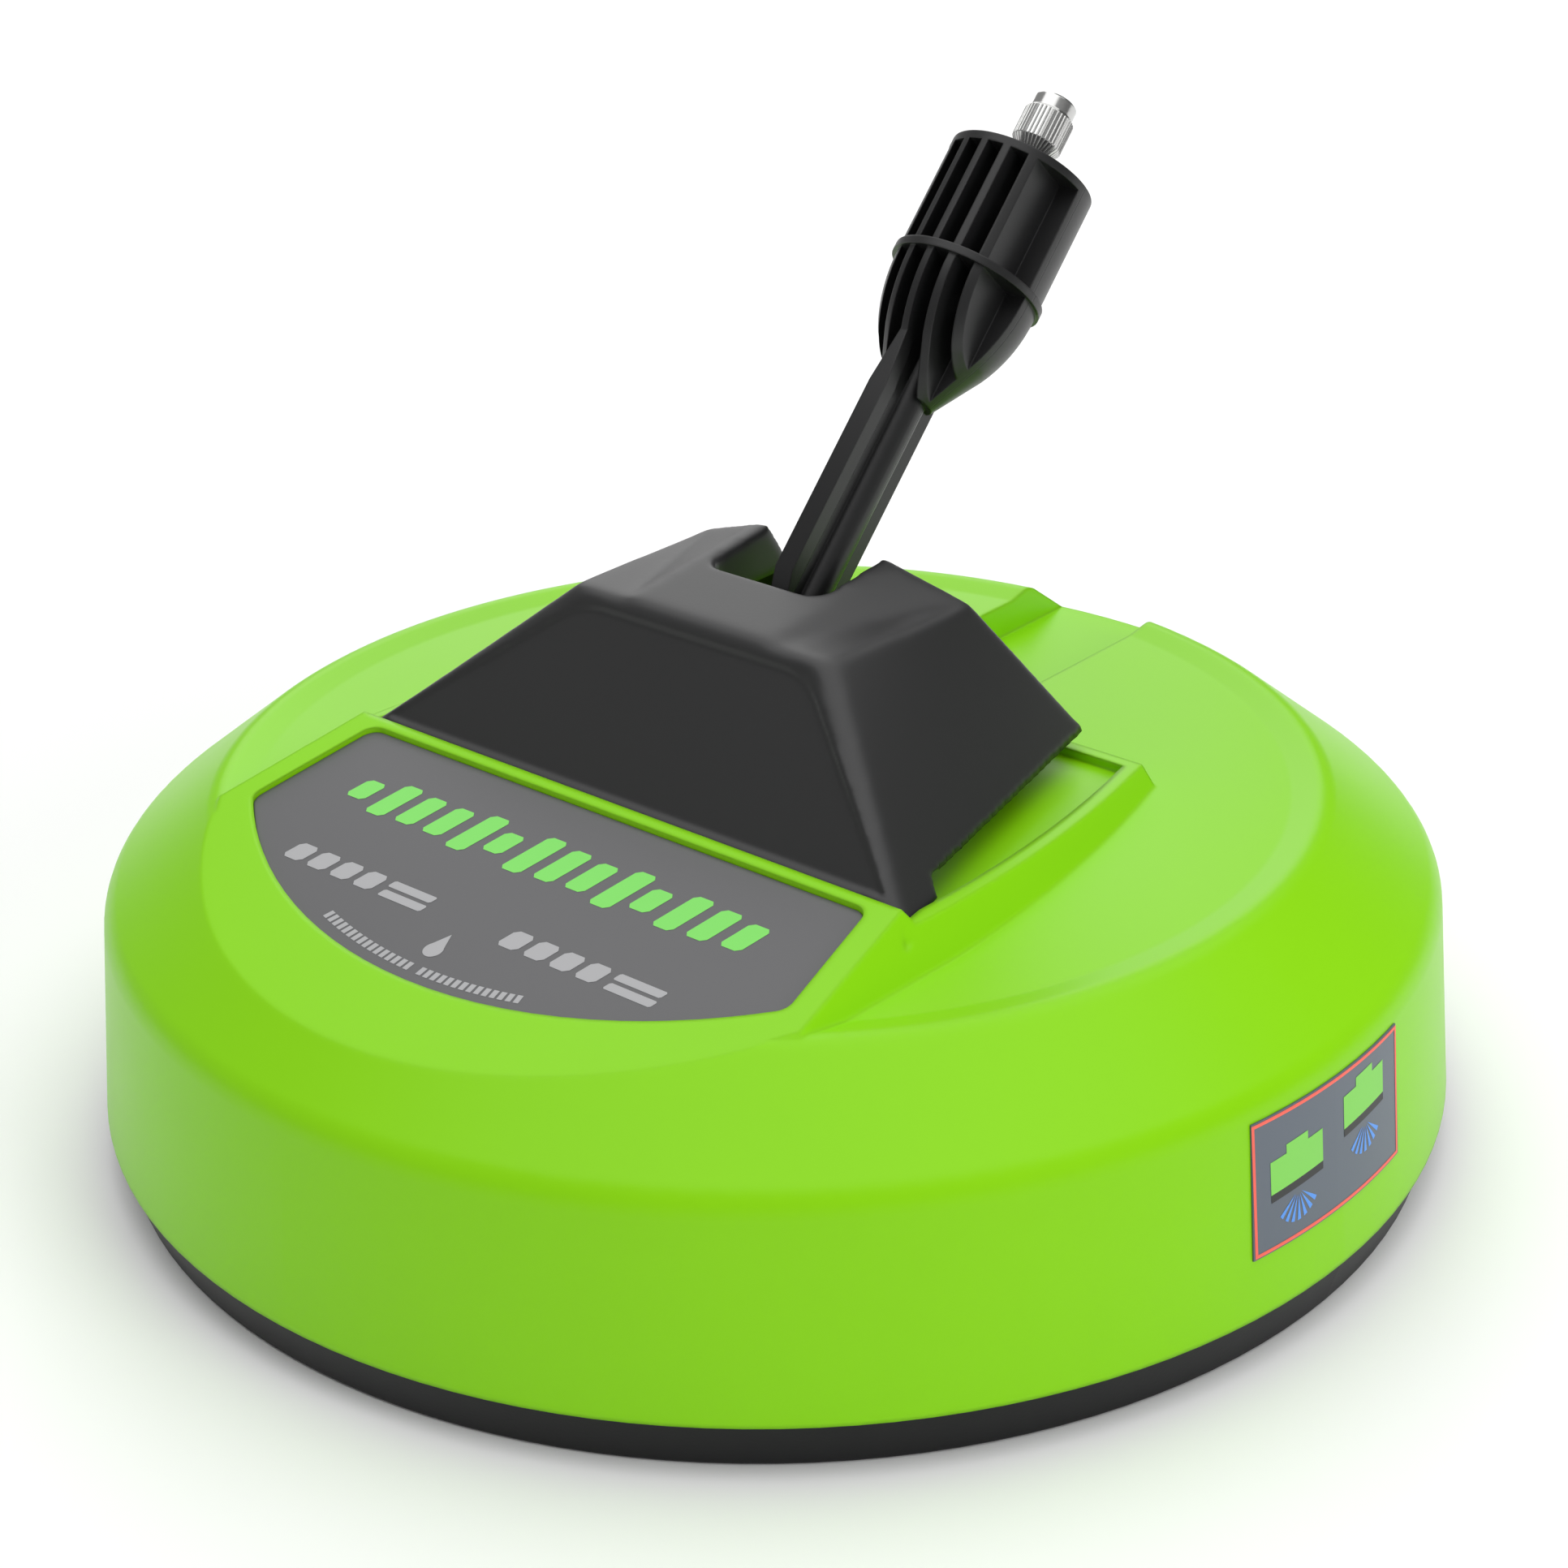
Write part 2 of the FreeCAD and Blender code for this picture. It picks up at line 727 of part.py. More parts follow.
# ---- wand, built upright on the Z axis with its ribbed face to -Y, then leaned back --------------
def lean(shape):
    copy = shape.copy()
    copy.rotate(V(0, 0, 0), V(1, 0, 0), -wand_lean)
    copy.translate(V(0, 0, pivot_height))
    return copy


def head_solid(grow=0.0):
    """Round head: disc, barrel, middle ring and the ogive below it."""
    low = ogive_low
    profile = [
        Part.makeLine(V(0, 0, disc_top), V(head_radius + grow, 0, disc_top)),
        Part.makeLine(V(head_radius + grow, 0, disc_top), V(head_radius + grow, 0, ring_low)),
        Part.Arc(V(head_radius + grow, 0, ring_low), V(ogive_bulge_radius + grow, 0, ogive_bulge),
                 V(ogive_mid_radius + grow, 0, ogive_mid)).toShape(),
        Part.makeLine(V(ogive_mid_radius + grow, 0, ogive_mid), V(ogive_low_radius + grow, 0, low)),
        Part.makeLine(V(ogive_low_radius + grow, 0, low), V(0, 0, low)),
        Part.makeLine(V(0, 0, low), V(0, 0, disc_top)),
    ]
    return Part.Face(Part.Wire(profile)).revolve(V(0, 0, 0), V(0, 0, 1), 360)


def middle_ring():
    return post(ring_radius, ring_low, ring_low + ring_thickness)


def front_half_space():
    return block(-big, big, -big, parting_thickness / 2, -big, big)


def stem_tube():
    """Round sleeve of the lance tube, with a thicker socket round the cross shaft's boss."""
    sleeve = post(stem_radius, 0.0, disc_top - disc_thickness)
    socket = post(trunnion_boss_radius + shell_wall, 0.0, trunnion_boss_length + shell_wall)
    return sleeve.fuse(socket)


def wand_hollow():
    """What both halves leave free: the lance tube, the cross shaft and its boss, and the plug's foot."""
    tube = post(lance_radius, trunnion_boss_length, disc_top)
    boss = post(trunnion_boss_radius, 0.0, trunnion_boss_length)
    cross = rod(trunnion_radius, V(-big, 0, 0), V(big, 0, 0))
    plug_seat = post(plug_flange_radius, disc_top - disc_thickness - plug_seat_depth, disc_top + 1.0)
    return tube.fuse(boss).fuse(cross).fuse(plug_seat)


def hub_solid():
    return rod(hub_radius, V(-hub_half, 0, 0), V(hub_half, 0, 0))


def rib_places():
    return [rib_pitch * index for index in range(-rib_count_each_side, rib_count_each_side + 1)]


def front_pockets():
    """Room between the ribs, above and below the middle ring."""
    pockets = []
    floor = -parting_thickness / 2
    spans = ((ogive_low - 1.0, ring_low), (ring_low + ring_thickness, disc_top - disc_thickness))
    edges = rib_places()
    for low, high in spans:
        for left, right in zip(edges[:-1], edges[1:]):
            pockets.append(block(left + rib_thickness / 2, right - rib_thickness / 2,
                                 -big, floor, low, high))
        outer = edges[-1] + rib_thickness / 2
        pockets.append(block(outer, big, -big, floor, low, high))
        pockets.append(block(-big, -outer, -big, floor, low, high))
    return pockets


def front_bar():
    """Bar along the front of the stem; its lower end tapers to clear the slot's front edge."""
    outline = [
        V(-stem_bar_half, -stem_front_bar_low, stem_start),
        V(-stem_bar_half, -stem_front_bar_high, stem_bar_full),
        V(-stem_bar_half, -stem_front_bar_high, ogive_mid),
        V(-stem_bar_half, -stem_front_bar_low, ogive_mid),
    ]
    return Part.Face(Part.makePolygon(outline + outline[:1])).extrude(V(2 * stem_bar_half, 0, 0))


def wand_screw_places():
    x = 1.5 * rib_pitch
    return [(side * x, z) for z in wand_screw_heights for side in (-1, 1)]


def wand_screw_at(x, z):
    """Screw driven in from the back of the wand towards its ribbed front."""
    one = screw(small_screw_radius, small_head_radius, small_head_height, wand_screw_length)
    one.rotate(V(0, 0, 0), V(1, 0, 0), 90)
    return moved(one, x, wand_screw_seat, z)


def wand_screws():
    return Part.makeCompound([wand_screw_at(x, z) for x, z in wand_screw_places()])


def wand_front_shell():
    head = head_solid().common(front_half_space())
    for pocket in front_pockets():
        head = head.cut(pocket)
    ring = middle_ring().common(front_half_space())
    spine = stem_tube().common(front_half_space())
    bar = front_bar()
    web = block(-stem_web_half, stem_web_half, -stem_front_bar_low - 0.5, 0, stem_start, ogive_mid)
    hub = hub_solid().common(front_half_space())
    body = head.fuse([ring, spine, bar, web, hub])
    tip = wand_screw_seat - wand_screw_length
    for x, z in wand_screw_places():
        body = body.fuse(rod(small_screw_radius + 1.3, V(x, tip - 1.0, z), V(x, 0, z)))
        body = body.cut(rod(small_screw_radius, V(x, tip, z), V(x, big, z)))
    return body.cut(wand_hollow()).removeSplitter()


def wand_back_shell():
    back = block(-big, big, parting_thickness / 2, big, -big, big)
    outside = head_solid().common(back)
    room = head_solid(-shell_wall).common(back)
    room = room.cut(block(-big, big, -big, big, disc_top - disc_thickness, big))
    room = room.cut(block(-big, big, -big, big, ring_low, ring_low + ring_thickness))
    room = room.cut(block(-big, big, -big, big, -big, ogive_low + 5.0))
    shell = outside.cut(room)
    ring = middle_ring().common(back).cut(post(head_radius - shell_wall, 0, disc_top))
    spine = stem_tube().common(back)
    bar = block(-stem_bar_half, stem_bar_half, 0, stem_back_bar, stem_start, ogive_mid).common(back)
    keel = block(-stem_web_half, stem_web_half, 0, head_radius - 1.0, ogive_low, disc_top - 1.0)
    keel = keel.common(head_solid(-0.5)).common(back)
    hub = hub_solid().common(back)
    body = shell.fuse([ring, spine, bar, keel, hub])
    for x, z in wand_screw_places():
        body = body.fuse(rod(small_head_radius + 1.4, V(x, 0, z), V(x, big, z)).common(outside))
        body = body.cut(rod(small_head_radius + 0.2, V(x, wand_screw_seat, z), V(x, big, z)))
        body = body.cut(rod(small_screw_radius, V(x, 0, z), V(x, big, z)))
    return body.cut(wand_hollow()).removeSplitter()


def lance_tube():
    return pipe(lance_radius, lance_bore, V(0, 0, trunnion_boss_length / 2), V(0, 0, lance_top()))


def lance_top():
    return disc_top - disc_thickness


def quick_plug():
    z = disc_top
    body = lathe([
        (0.0, z - disc_thickness - plug_seat_depth),
        (plug_flange_radius, z - disc_thickness - plug_seat_depth),
        (plug_flange_radius, z + 0.8),
        (plug_neck_radius, z + 1.7),
        (plug_neck_radius, z + 5.2),
        (plug_collar_radius, z + plug_collar_low),
        (plug_collar_radius, z + plug_collar_high),
        (plug_end_radius, z + plug_collar_high + 0.7),
        (plug_end_radius, z + plug_length - 0.5),
        (plug_end_radius - 0.5, z + plug_length),
        (0.0, z + plug_length),
    ])
    socket = post(lance_radius, 0, lance_top())
    return body.cut(socket).cut(post(lance_bore, 0, z + plug_length + 1.0)).cut(plug_seal())


def plug_seal():
    """Sealing ring round the lance tube, in a groove of the plug."""
    z = disc_top - disc_thickness - plug_seat_depth / 2
    return pipe(lance_radius + 1.2, lance_radius, V(0, 0, z - 0.9), V(0, 0, z + 0.9))


def trunnion_tee():
    cross = rod(trunnion_radius, V(-trunnion_half, 0, 0), V(trunnion_half, 0, 0))
    boss = post(trunnion_boss_radius, 0.0, trunnion_boss_length)
    body = cross.fuse(boss)
    body = body.cut(rod(trunnion_bore, V(-big, 0, 0), V(big, 0, 0)))
    body = body.cut(post(lance_bore, 0, big)).cut(post(lance_radius, trunnion_boss_length / 2, big))
    for seal in seal_rings():
        body = body.cut(seal)
    return body.removeSplitter()


def seal_rings():
    rings = []
    for x in (-seal_groove_x, seal_groove_x):
        low = V(x - seal_groove_width / 2, 0, 0)
        high = V(x + seal_groove_width / 2, 0, 0)
        rings.append(pipe(trunnion_radius, seal_groove_radius, low, high))
    return rings


# ---- yoke -----------------------------------------------------------------------------------------
def yoke_bore():
    return trunnion_radius + running_gap


def yoke_low():
    return island_floor


def pivot_yoke():
    base_high = yoke_low() + yoke_base_thickness
    body = post(yoke_base_radius, yoke_low(), base_high)
    for side in (-1, 1):
        inner = side * yoke_arm_inner
        outer = side * yoke_arm_outer
        left, right = min(inner, outer), max(inner, outer)
        arm = block(left, right, -yoke_arm_half, yoke_arm_half, base_high - 1.0, pivot_height)
        round_end = rod(yoke_arm_half, V(left, 0, pivot_height), V(right, 0, pivot_height))
        body = body.fuse([arm, round_end])
    body = body.cut(rod(yoke_bore(), V(-big, 0, pivot_height), V(big, 0, pivot_height)))
    for side in (-1, 1):
        x = side * (trunnion_half + 0.25)
        body = body.cut(post(water_way_radius, yoke_low() + water_way_rise, pivot_height, x))
    gallery_z = yoke_low() + water_way_rise
    cross_way = V(trunnion_half + 1.0, 0, 0)
    level = V(0, 0, gallery_z)
    body = body.cut(rod(water_way_radius, level - cross_way, level + cross_way))
    body = body.cut(post(neck_radius, 0, neck_top())).cut(post(gallery_radius, 0, gallery_z + 1.0))
    for hole in around(post(yoke_screw_radius, 0, yoke_screw_tip(), yoke_screw_circle),
                       yoke_screw_count, 45.0):
        body = body.cut(hole)
    return body.removeSplitter()


def neck_top():
    return yoke_low() + neck_rise


def pivot_plugs():
    start = yoke_arm_outer - yoke_plug_length
    plug = rod(yoke_bore(), V(start, 0, pivot_height), V(yoke_arm_outer, 0, pivot_height))
    head = rod(yoke_plug_head_radius, V(yoke_arm_outer, 0, pivot_height),
               V(yoke_arm_outer + yoke_plug_head, 0, pivot_height))
    one = plug.fuse(head).removeSplitter()
    corners = [math.radians(60 * k) for k in range(7)]
    hexagon = Part.makePolygon([V(yoke_arm_outer + hex_key_seat, hex_key_radius * math.cos(corner),
                                  pivot_height + hex_key_radius * math.sin(corner)) for corner in corners])
    one = one.cut(Part.Face(hexagon).extrude(V(yoke_plug_head, 0, 0)))
    return Part.makeCompound([one, mirrored(one)])


def yoke_screw_seat():
    return island_floor - deck_wall - housing_flange_thickness


def yoke_screw_tip():
    return yoke_low() + yoke_base_thickness - 0.8


def yoke_screws():
    length = yoke_screw_tip() - yoke_screw_seat()
    one = moved(screw(yoke_screw_radius, screw_head_radius, screw_head_height, length),
                yoke_screw_circle, 0, yoke_screw_seat())
    return Part.makeCompound(around(one, yoke_screw_count, 45.0))


# ---- swivel housing -------------------------------------------------------------------------------
def lower_bush_low():
    return housing_low


def bush_length():
    return bush_share * (seal_high() - housing_low)


def lower_bush_high():
    return housing_low + bush_length()


def upper_bush_low():
    return seal_low() - bush_length()


def seal_low():
    return seal_high() - seal_length


def seal_high():
    return yoke_screw_seat() - seal_shelf


def swivel_housing():
    flange_low = yoke_screw_seat()
    flange_high = island_floor - deck_wall
    body = post(yoke_base_radius, flange_low, flange_high)
    body = body.fuse(post(housing_radius, housing_low, flange_high))
    body = body.fuse(post(neck_radius, flange_low, neck_top()))
    body = body.cut(post(bush_radius, housing_low - 1.0, seal_high()))
    body = body.cut(post(gallery_radius, 0, big))
    for hole in around(post(yoke_screw_radius + screw_clearance, 0, big, yoke_screw_circle),
                       yoke_screw_count, 45.0):
        body = body.cut(hole)
    for hole in around(post(small_screw_radius, 0, retainer_screw_tip(), retainer_screw_circle()), 3):
        body = body.cut(hole)
    return body.removeSplitter()


def bush(low):
    return pipe(bush_radius, shaft_radius + running_gap, V(0, 0, low), V(0, 0, low + bush_length()))


def shaft_seal():
    return pipe(bush_radius, shaft_radius + running_gap, V(0, 0, seal_low()), V(0, 0, seal_high()))


def retainer_low():
    return housing_low - retainer_thickness


def retainer_screw_circle():
    return (bush_radius + housing_radius) / 2


def retainer_screw_tip():
    return housing_low + 6.0


def retainer_screw_seat():
    return retainer_low() + small_head_height + 0.2


def bush_retainer():
    ring = pipe(housing_radius, shaft_radius + retainer_bore_gap,
                V(0, 0, retainer_low()), V(0, 0, housing_low))
    for hole in around(post(small_screw_radius + 0.15, 0, housing_low, retainer_screw_circle()), 3):
        ring = ring.cut(hole)
    for hole in around(post(small_head_radius + 0.2, 0, retainer_screw_seat(), retainer_screw_circle()), 3):
        ring = ring.cut(hole)
    return ring


def retainer_screws():
    length = retainer_screw_tip() - retainer_screw_seat()
    one = screw(small_screw_radius, small_head_radius, small_head_height, length)
    one = moved(one, retainer_screw_circle(), 0, retainer_screw_seat())
    return Part.makeCompound(around(one, 3))


# ---- rotor ----------------------------------------------------------------------------------------
def washer_low():
    return lower_bush_high() + 0.1


def circlip_low():
    return washer_low() + washer_thickness


def thrust_washer():
    return pipe(bush_radius - 0.3, shaft_radius, V(0, 0, washer_low()), V(0, 0, circlip_low()))


def shaft_circlip():
    return pipe(circlip_radius, circlip_groove_radius, V(0, 0, circlip_low()),
                V(0, 0, circlip_low() + circlip_thickness))


def shaft_low():
    return spray_hub_low() + spray_hub_cap_length


def rotor_shaft():
    body = pipe(shaft_radius, shaft_bore, V(0, 0, shaft_low()), V(0, 0, seal_high() - 0.5))
    body = body.cut(shaft_circlip())
    return body.cut(rod(arm_bore, V(-big, 0, arm_height), V(big, 0, arm_height)))


def spray_hub_high():
    return retainer_low() - hub_top_gap


def spray_hub_low():
    return spray_hub_high() - spray_hub_height


def spray_hub():
    body = post(spray_hub_radius, spray_hub_low(), spray_hub_high())
    body = body.cut(post(shaft_radius, 0, big))
    seat = spray_hub_radius - arm_seat
    body = body.cut(rod(arm_bore, V(-big, 0, arm_height), V(big, 0, arm_height)))
    for side in (-1, 1):
        body = body.cut(rod(arm_radius, V(side * seat, 0, arm_height), V(side * big, 0, arm_height)))
    return body.removeSplitter()


def hub_cap():
    shank = post(shaft_radius, spray_hub_low(), shaft_low())
    head = post(shaft_radius + 3.0, spray_hub_low() - spray_hub_cap_head, spray_hub_low())
    slot = block(-big, big, -0.9, 0.9, spray_hub_low() - spray_hub_cap_head, spray_hub_low() - 1.4)
    return shank.fuse(head).removeSplitter().cut(slot)


def spray_arm(side):
    start = V(side * (spray_hub_radius - arm_seat), 0, arm_height)
    end = V(side * (nozzle_reach - nozzle_body_radius + nozzle_seat), 0, arm_height)
    return pipe(arm_radius, arm_bore, start, end)


def nozzle_place(shape):
    """The nozzle on the right arm, tilted about the arm, and its partner half a turn away."""
    one = moved(shape, nozzle_reach, 0, 0)
    one.rotate(V(0, 0, arm_height), V(1, 0, 0), nozzle_tilt)
    return Part.makeCompound(around(one, 2))


def nozzle_tip_top():
    return arm_height - nozzle_body_half + nozzle_seat


def nozzle_bodies():
    body = post(nozzle_body_radius, arm_height - nozzle_body_half, arm_height + nozzle_body_half)
    seat = -nozzle_body_radius + nozzle_seat
    body = body.cut(rod(arm_radius, V(-big, 0, arm_height), V(seat, 0, arm_height)))
    body = body.cut(rod(arm_bore, V(-big, 0, arm_height), V(0, 0, arm_height)))
    body = body.cut(post(arm_bore, nozzle_tip_top() - 0.5, arm_height))
    body = body.cut(post(nozzle_tip_radius, 0, nozzle_tip_top()))
    return nozzle_place(body)


def nozzle_tips():
    low = arm_height - nozzle_body_half - (nozzle_tip_length - nozzle_seat)
    tip = post(nozzle_tip_radius, low, nozzle_tip_top())
    tip = tip.cut(post(1.6, low + 2.0, nozzle_tip_top()))
    tip = tip.cut(post(0.7, low, low + 3.0))
    fan = block(-0.6, 0.6, -nozzle_tip_radius, nozzle_tip_radius, low, low + 0.9)
    return nozzle_place(tip.cut(fan))


# ---- write one file for each piece ----------------------------------------------------------------
pieces = {
    "shroud": shroud(),
    "skirt_ring": skirt_ring(),
    "skirt_screws": skirt_screws(),
    "badge_plate": badge_plate(),
    "side_label": side_label(),
    "top_cover": top_cover(),
    "cover_screws": cover_screws(),
    "pivot_yoke": pivot_yoke(),
    "pivot_plugs": pivot_plugs(),
    "yoke_screws": yoke_screws(),
    "swivel_housing": swivel_housing(),
    "shaft_seal": shaft_seal(),
    "upper_bush": bush(upper_bush_low()),
    "lower_bush": bush(lower_bush_low()),
    "bush_retainer": bush_retainer(),
    "retainer_screws": retainer_screws(),
    "rotor_shaft": rotor_shaft(),
    "shaft_circlip": shaft_circlip(),
    "thrust_washer": thrust_washer(),
    "spray_hub": spray_hub(),
    "hub_cap": hub_cap(),
    "spray_arm_left": spray_arm(-1),
    "spray_arm_right": spray_arm(1),
    "nozzle_bodies": nozzle_bodies(),
    "nozzle_tips": nozzle_tips(),
    "wand_front_shell": lean(wand_front_shell()),
    "wand_back_shell": lean(wand_back_shell()),
    "lance_tube": lean(lance_tube()),
    "quick_plug": lean(quick_plug()),
    "plug_seal": lean(plug_seal()),
    "trunnion_tee": lean(trunnion_tee()),
    "trunnion_seals": lean(Part.makeCompound(seal_rings())),
    "wand_screws": lean(wand_screws()),
}

os.makedirs("parts", exist_ok=True)
for name, shape in pieces.items():
    shape.exportStep("parts/" + name + ".step")
    print(name, "solids", len(shape.Solids), "valid", shape.isValid(), "volume %.0f" % shape.Volume)
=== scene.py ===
import math

import bmesh
import bpy
from mathutils import Matrix, Vector


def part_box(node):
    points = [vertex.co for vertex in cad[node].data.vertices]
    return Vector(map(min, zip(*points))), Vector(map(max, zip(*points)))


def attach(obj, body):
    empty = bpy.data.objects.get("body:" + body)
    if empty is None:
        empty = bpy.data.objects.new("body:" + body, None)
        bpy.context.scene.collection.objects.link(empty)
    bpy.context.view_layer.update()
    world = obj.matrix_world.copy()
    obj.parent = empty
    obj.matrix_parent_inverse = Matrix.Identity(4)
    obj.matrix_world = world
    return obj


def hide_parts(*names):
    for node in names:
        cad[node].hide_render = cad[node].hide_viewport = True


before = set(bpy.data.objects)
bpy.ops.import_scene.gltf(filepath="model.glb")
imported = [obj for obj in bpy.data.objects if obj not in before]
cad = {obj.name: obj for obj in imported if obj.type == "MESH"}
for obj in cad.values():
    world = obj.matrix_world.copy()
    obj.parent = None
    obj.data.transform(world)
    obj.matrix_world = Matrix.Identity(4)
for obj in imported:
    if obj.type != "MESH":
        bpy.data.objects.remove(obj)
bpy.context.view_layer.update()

mm = 0.001


# ---- Camera, floor and light ----------------------------------------------------------------------
# A long lens looks down at the cleaner from its front right-hand side. It stands on a plain white
# floor in a pale room that is dimmer behind it, under one wide soft lamp, with weaker lamps on its
# right and behind it.
camera_azimuth, camera_elevation, camera_roll = map(math.radians, (40.87, 25.32, -1.03))
camera_distance = 0.7491
camera_lens = 74.3
aim_right, aim_height = 0.00296, 0.07705

camera_back = Vector((math.sin(camera_azimuth) * math.cos(camera_elevation),
                      -math.cos(camera_azimuth) * math.cos(camera_elevation),
                      math.sin(camera_elevation)))
camera_side = Vector((math.cos(camera_azimuth), math.sin(camera_azimuth), 0.0))
camera_up = camera_back.cross(camera_side)
rolled_side = camera_side * math.cos(camera_roll) + camera_up * math.sin(camera_roll)
rolled_up = camera_up * math.cos(camera_roll) - camera_side * math.sin(camera_roll)
aim = camera_side * aim_right + Vector((0.0, 0.0, aim_height))

camera = bpy.data.objects.new("camera", bpy.data.cameras.new("camera"))
camera.data.lens = camera_lens
camera.data.sensor_width = 36.0
camera.data.clip_start, camera.data.clip_end = 0.01, 150.0
camera_turn = Matrix((rolled_side, rolled_up, camera_back)).transposed().to_4x4()
camera.matrix_world = Matrix.Translation(aim + camera_back * camera_distance) @ camera_turn
bpy.context.scene.collection.objects.link(camera)
bpy.context.scene.camera = camera
bpy.context.scene.view_settings.view_transform = "Standard"

floor_half, floor_white = 40.0, 0.95
floor_mesh = bpy.data.meshes.new("floor")
floor_mesh.from_pydata([(-floor_half, -floor_half, 0), (floor_half, -floor_half, 0),
                        (floor_half, floor_half, 0), (-floor_half, floor_half, 0)], [], [(0, 1, 2, 3)])
floor = bpy.data.objects.new("floor", floor_mesh)
bpy.context.scene.collection.objects.link(floor)
floor_paint = bpy.data.materials.new("floor_paint")
floor_paint.use_nodes = True
floor_shader = floor_paint.node_tree.nodes["Principled BSDF"]
floor_shader.inputs["Base Color"].default_value = (floor_white, floor_white, floor_white, 1)
floor_shader.inputs["Roughness"].default_value = 1.0
floor_shader.inputs["Specular IOR Level"].default_value = 0.0
floor_mesh.materials.append(floor_paint)

dim_side = Vector((0.42, 0.90, 0.12)).normalized()   # toward the darker end of the room
dim_starts, dim_complete = 0.35, 0.95   # cosines of the angles away from that end
bright_walls, dim_walls = 0.32, 0.14
room = bpy.data.worlds.new("room")
room.use_nodes = True
walls = room.node_tree
wall_light = walls.nodes["Background"]
wall_light.inputs["Color"].default_value = (1.0, 1.0, 1.0, 1.0)
direction = walls.nodes.new("ShaderNodeTexCoord")
toward_dim = walls.nodes.new("ShaderNodeVectorMath")
toward_dim.operation = "DOT_PRODUCT"
toward_dim.inputs[1].default_value = dim_side
fade = walls.nodes.new("ShaderNodeMapRange")
fade.interpolation_type = "SMOOTHSTEP"
fade.inputs["From Min"].default_value = dim_starts
fade.inputs["From Max"].default_value = dim_complete
fade.inputs["To Min"].default_value = bright_walls
fade.inputs["To Max"].default_value = dim_walls
walls.links.new(direction.outputs["Generated"], toward_dim.inputs[0])
walls.links.new(toward_dim.outputs["Value"], fade.inputs["Value"])
walls.links.new(fade.outputs["Result"], wall_light.inputs["Strength"])
bpy.context.scene.world = room

overhead_power, overhead_spread = 2.1, math.radians(84)
overhead_lean = (math.radians(-7), math.radians(-2), 0)
overhead = bpy.data.objects.new("lamp_overhead", bpy.data.lights.new("lamp_overhead", "SUN"))
overhead.data.energy = overhead_power
overhead.data.angle = overhead_spread
overhead.rotation_euler = overhead_lean
bpy.context.scene.collection.objects.link(overhead)

lamp_target = Vector((0.0, 0.0, 0.08))


def round_lamp(name, place, width, power):
    """Round lamp that faces the cleaner."""
    lamp = bpy.data.objects.new(name, bpy.data.lights.new(name, "AREA"))
    lamp.data.shape = "DISK"
    lamp.data.size = width
    lamp.data.energy = power
    lamp.rotation_mode = "QUATERNION"
    lamp.rotation_quaternion = (place - lamp_target).to_track_quat("Z", "Y")
    lamp.location = place
    bpy.context.scene.collection.objects.link(lamp)
    return lamp


right_lamp = round_lamp("lamp_right", Vector((1.7, -0.1, 0.7)), 1.0, 9.5)
right_lamp.visible_glossy = False   # it leaves no bright spot on the black plastic
round_lamp("lamp_rear", Vector((-1.15, 1.22, 0.85)), 1.2, 5.6)


# ---- Deck -----------------------------------------------------------------------------------------
# The round shroud is one moulding of glossy green polypropylene, coloured through. Its edges are
# eased by the mould, and its skin has a very fine grain with slightly uneven gloss.
deck_green = (0.250, 0.660, 0.003, 1.0)
deck_gloss = 0.34
deck_edge_radius = 1.8 * mm


def moulded_skin():
    """Shader group for moulded and turned surfaces: fine grain and soft patches of uneven gloss."""
    group = bpy.data.node_groups.new("moulded_skin", "ShaderNodeTree")
    for socket_name, value in (("Grain Scale", 900.0), ("Gloss", 0.35), ("Gloss Change", 0.05),
                               ("Shade Change", 0.04)):
        socket = group.interface.new_socket(socket_name, in_out="INPUT", socket_type="NodeSocketFloat")
        socket.default_value = value
    colour_in = group.interface.new_socket("Colour", in_out="INPUT", socket_type="NodeSocketColor")
    colour_in.default_value = (0.5, 0.5, 0.5, 1.0)
    for socket_name, kind in (("Colour", "NodeSocketColor"), ("Roughness", "NodeSocketFloat"),
                              ("Height", "NodeSocketFloat")):
        group.interface.new_socket(socket_name, in_out="OUTPUT", socket_type=kind)
    given = group.nodes.new("NodeGroupInput")
    made = group.nodes.new("NodeGroupOutput")
    place = group.nodes.new("ShaderNodeTexCoord")
    grain = group.nodes.new("ShaderNodeTexNoise")
    grain.inputs["Detail"].default_value = 4.0
    patches = group.nodes.new("ShaderNodeTexNoise")
    patches.inputs["Scale"].default_value = 22.0
    patches.inputs["Detail"].default_value = 2.0
    centred = group.nodes.new("ShaderNodeMath")
    centred.operation = "SUBTRACT"
    centred.inputs[1].default_value = 0.5
    gloss = group.nodes.new("ShaderNodeMath")
    gloss.operation = "MULTIPLY_ADD"
    shade = group.nodes.new("ShaderNodeMath")
    shade.operation = "MULTIPLY_ADD"
    shade.inputs[2].default_value = 1.0
    tint = group.nodes.new("ShaderNodeVectorMath")
    tint.operation = "SCALE"
    links = group.links
    links.new(place.outputs["Object"], grain.inputs["Vector"])
    links.new(given.outputs["Grain Scale"], grain.inputs["Scale"])
    links.new(place.outputs["Object"], patches.inputs["Vector"])
    links.new(patches.outputs["Fac"], centred.inputs[0])
    links.new(centred.outputs[0], gloss.inputs[0])
    links.new(given.outputs["Gloss Change"], gloss.inputs[1])
    links.new(given.outputs["Gloss"], gloss.inputs[2])
    links.new(centred.outputs[0], shade.inputs[0])
    links.new(given.outputs["Shade Change"], shade.inputs[1])
    links.new(given.outputs["Colour"], tint.inputs[0])
    links.new(shade.outputs[0], tint.inputs["Scale"])
    links.new(tint.outputs["Vector"], made.inputs["Colour"])
    links.new(gloss.outputs[0], made.inputs["Roughness"])
    links.new(grain.outputs["Fac"], made.inputs["Height"])
    return group


skin = moulded_skin()


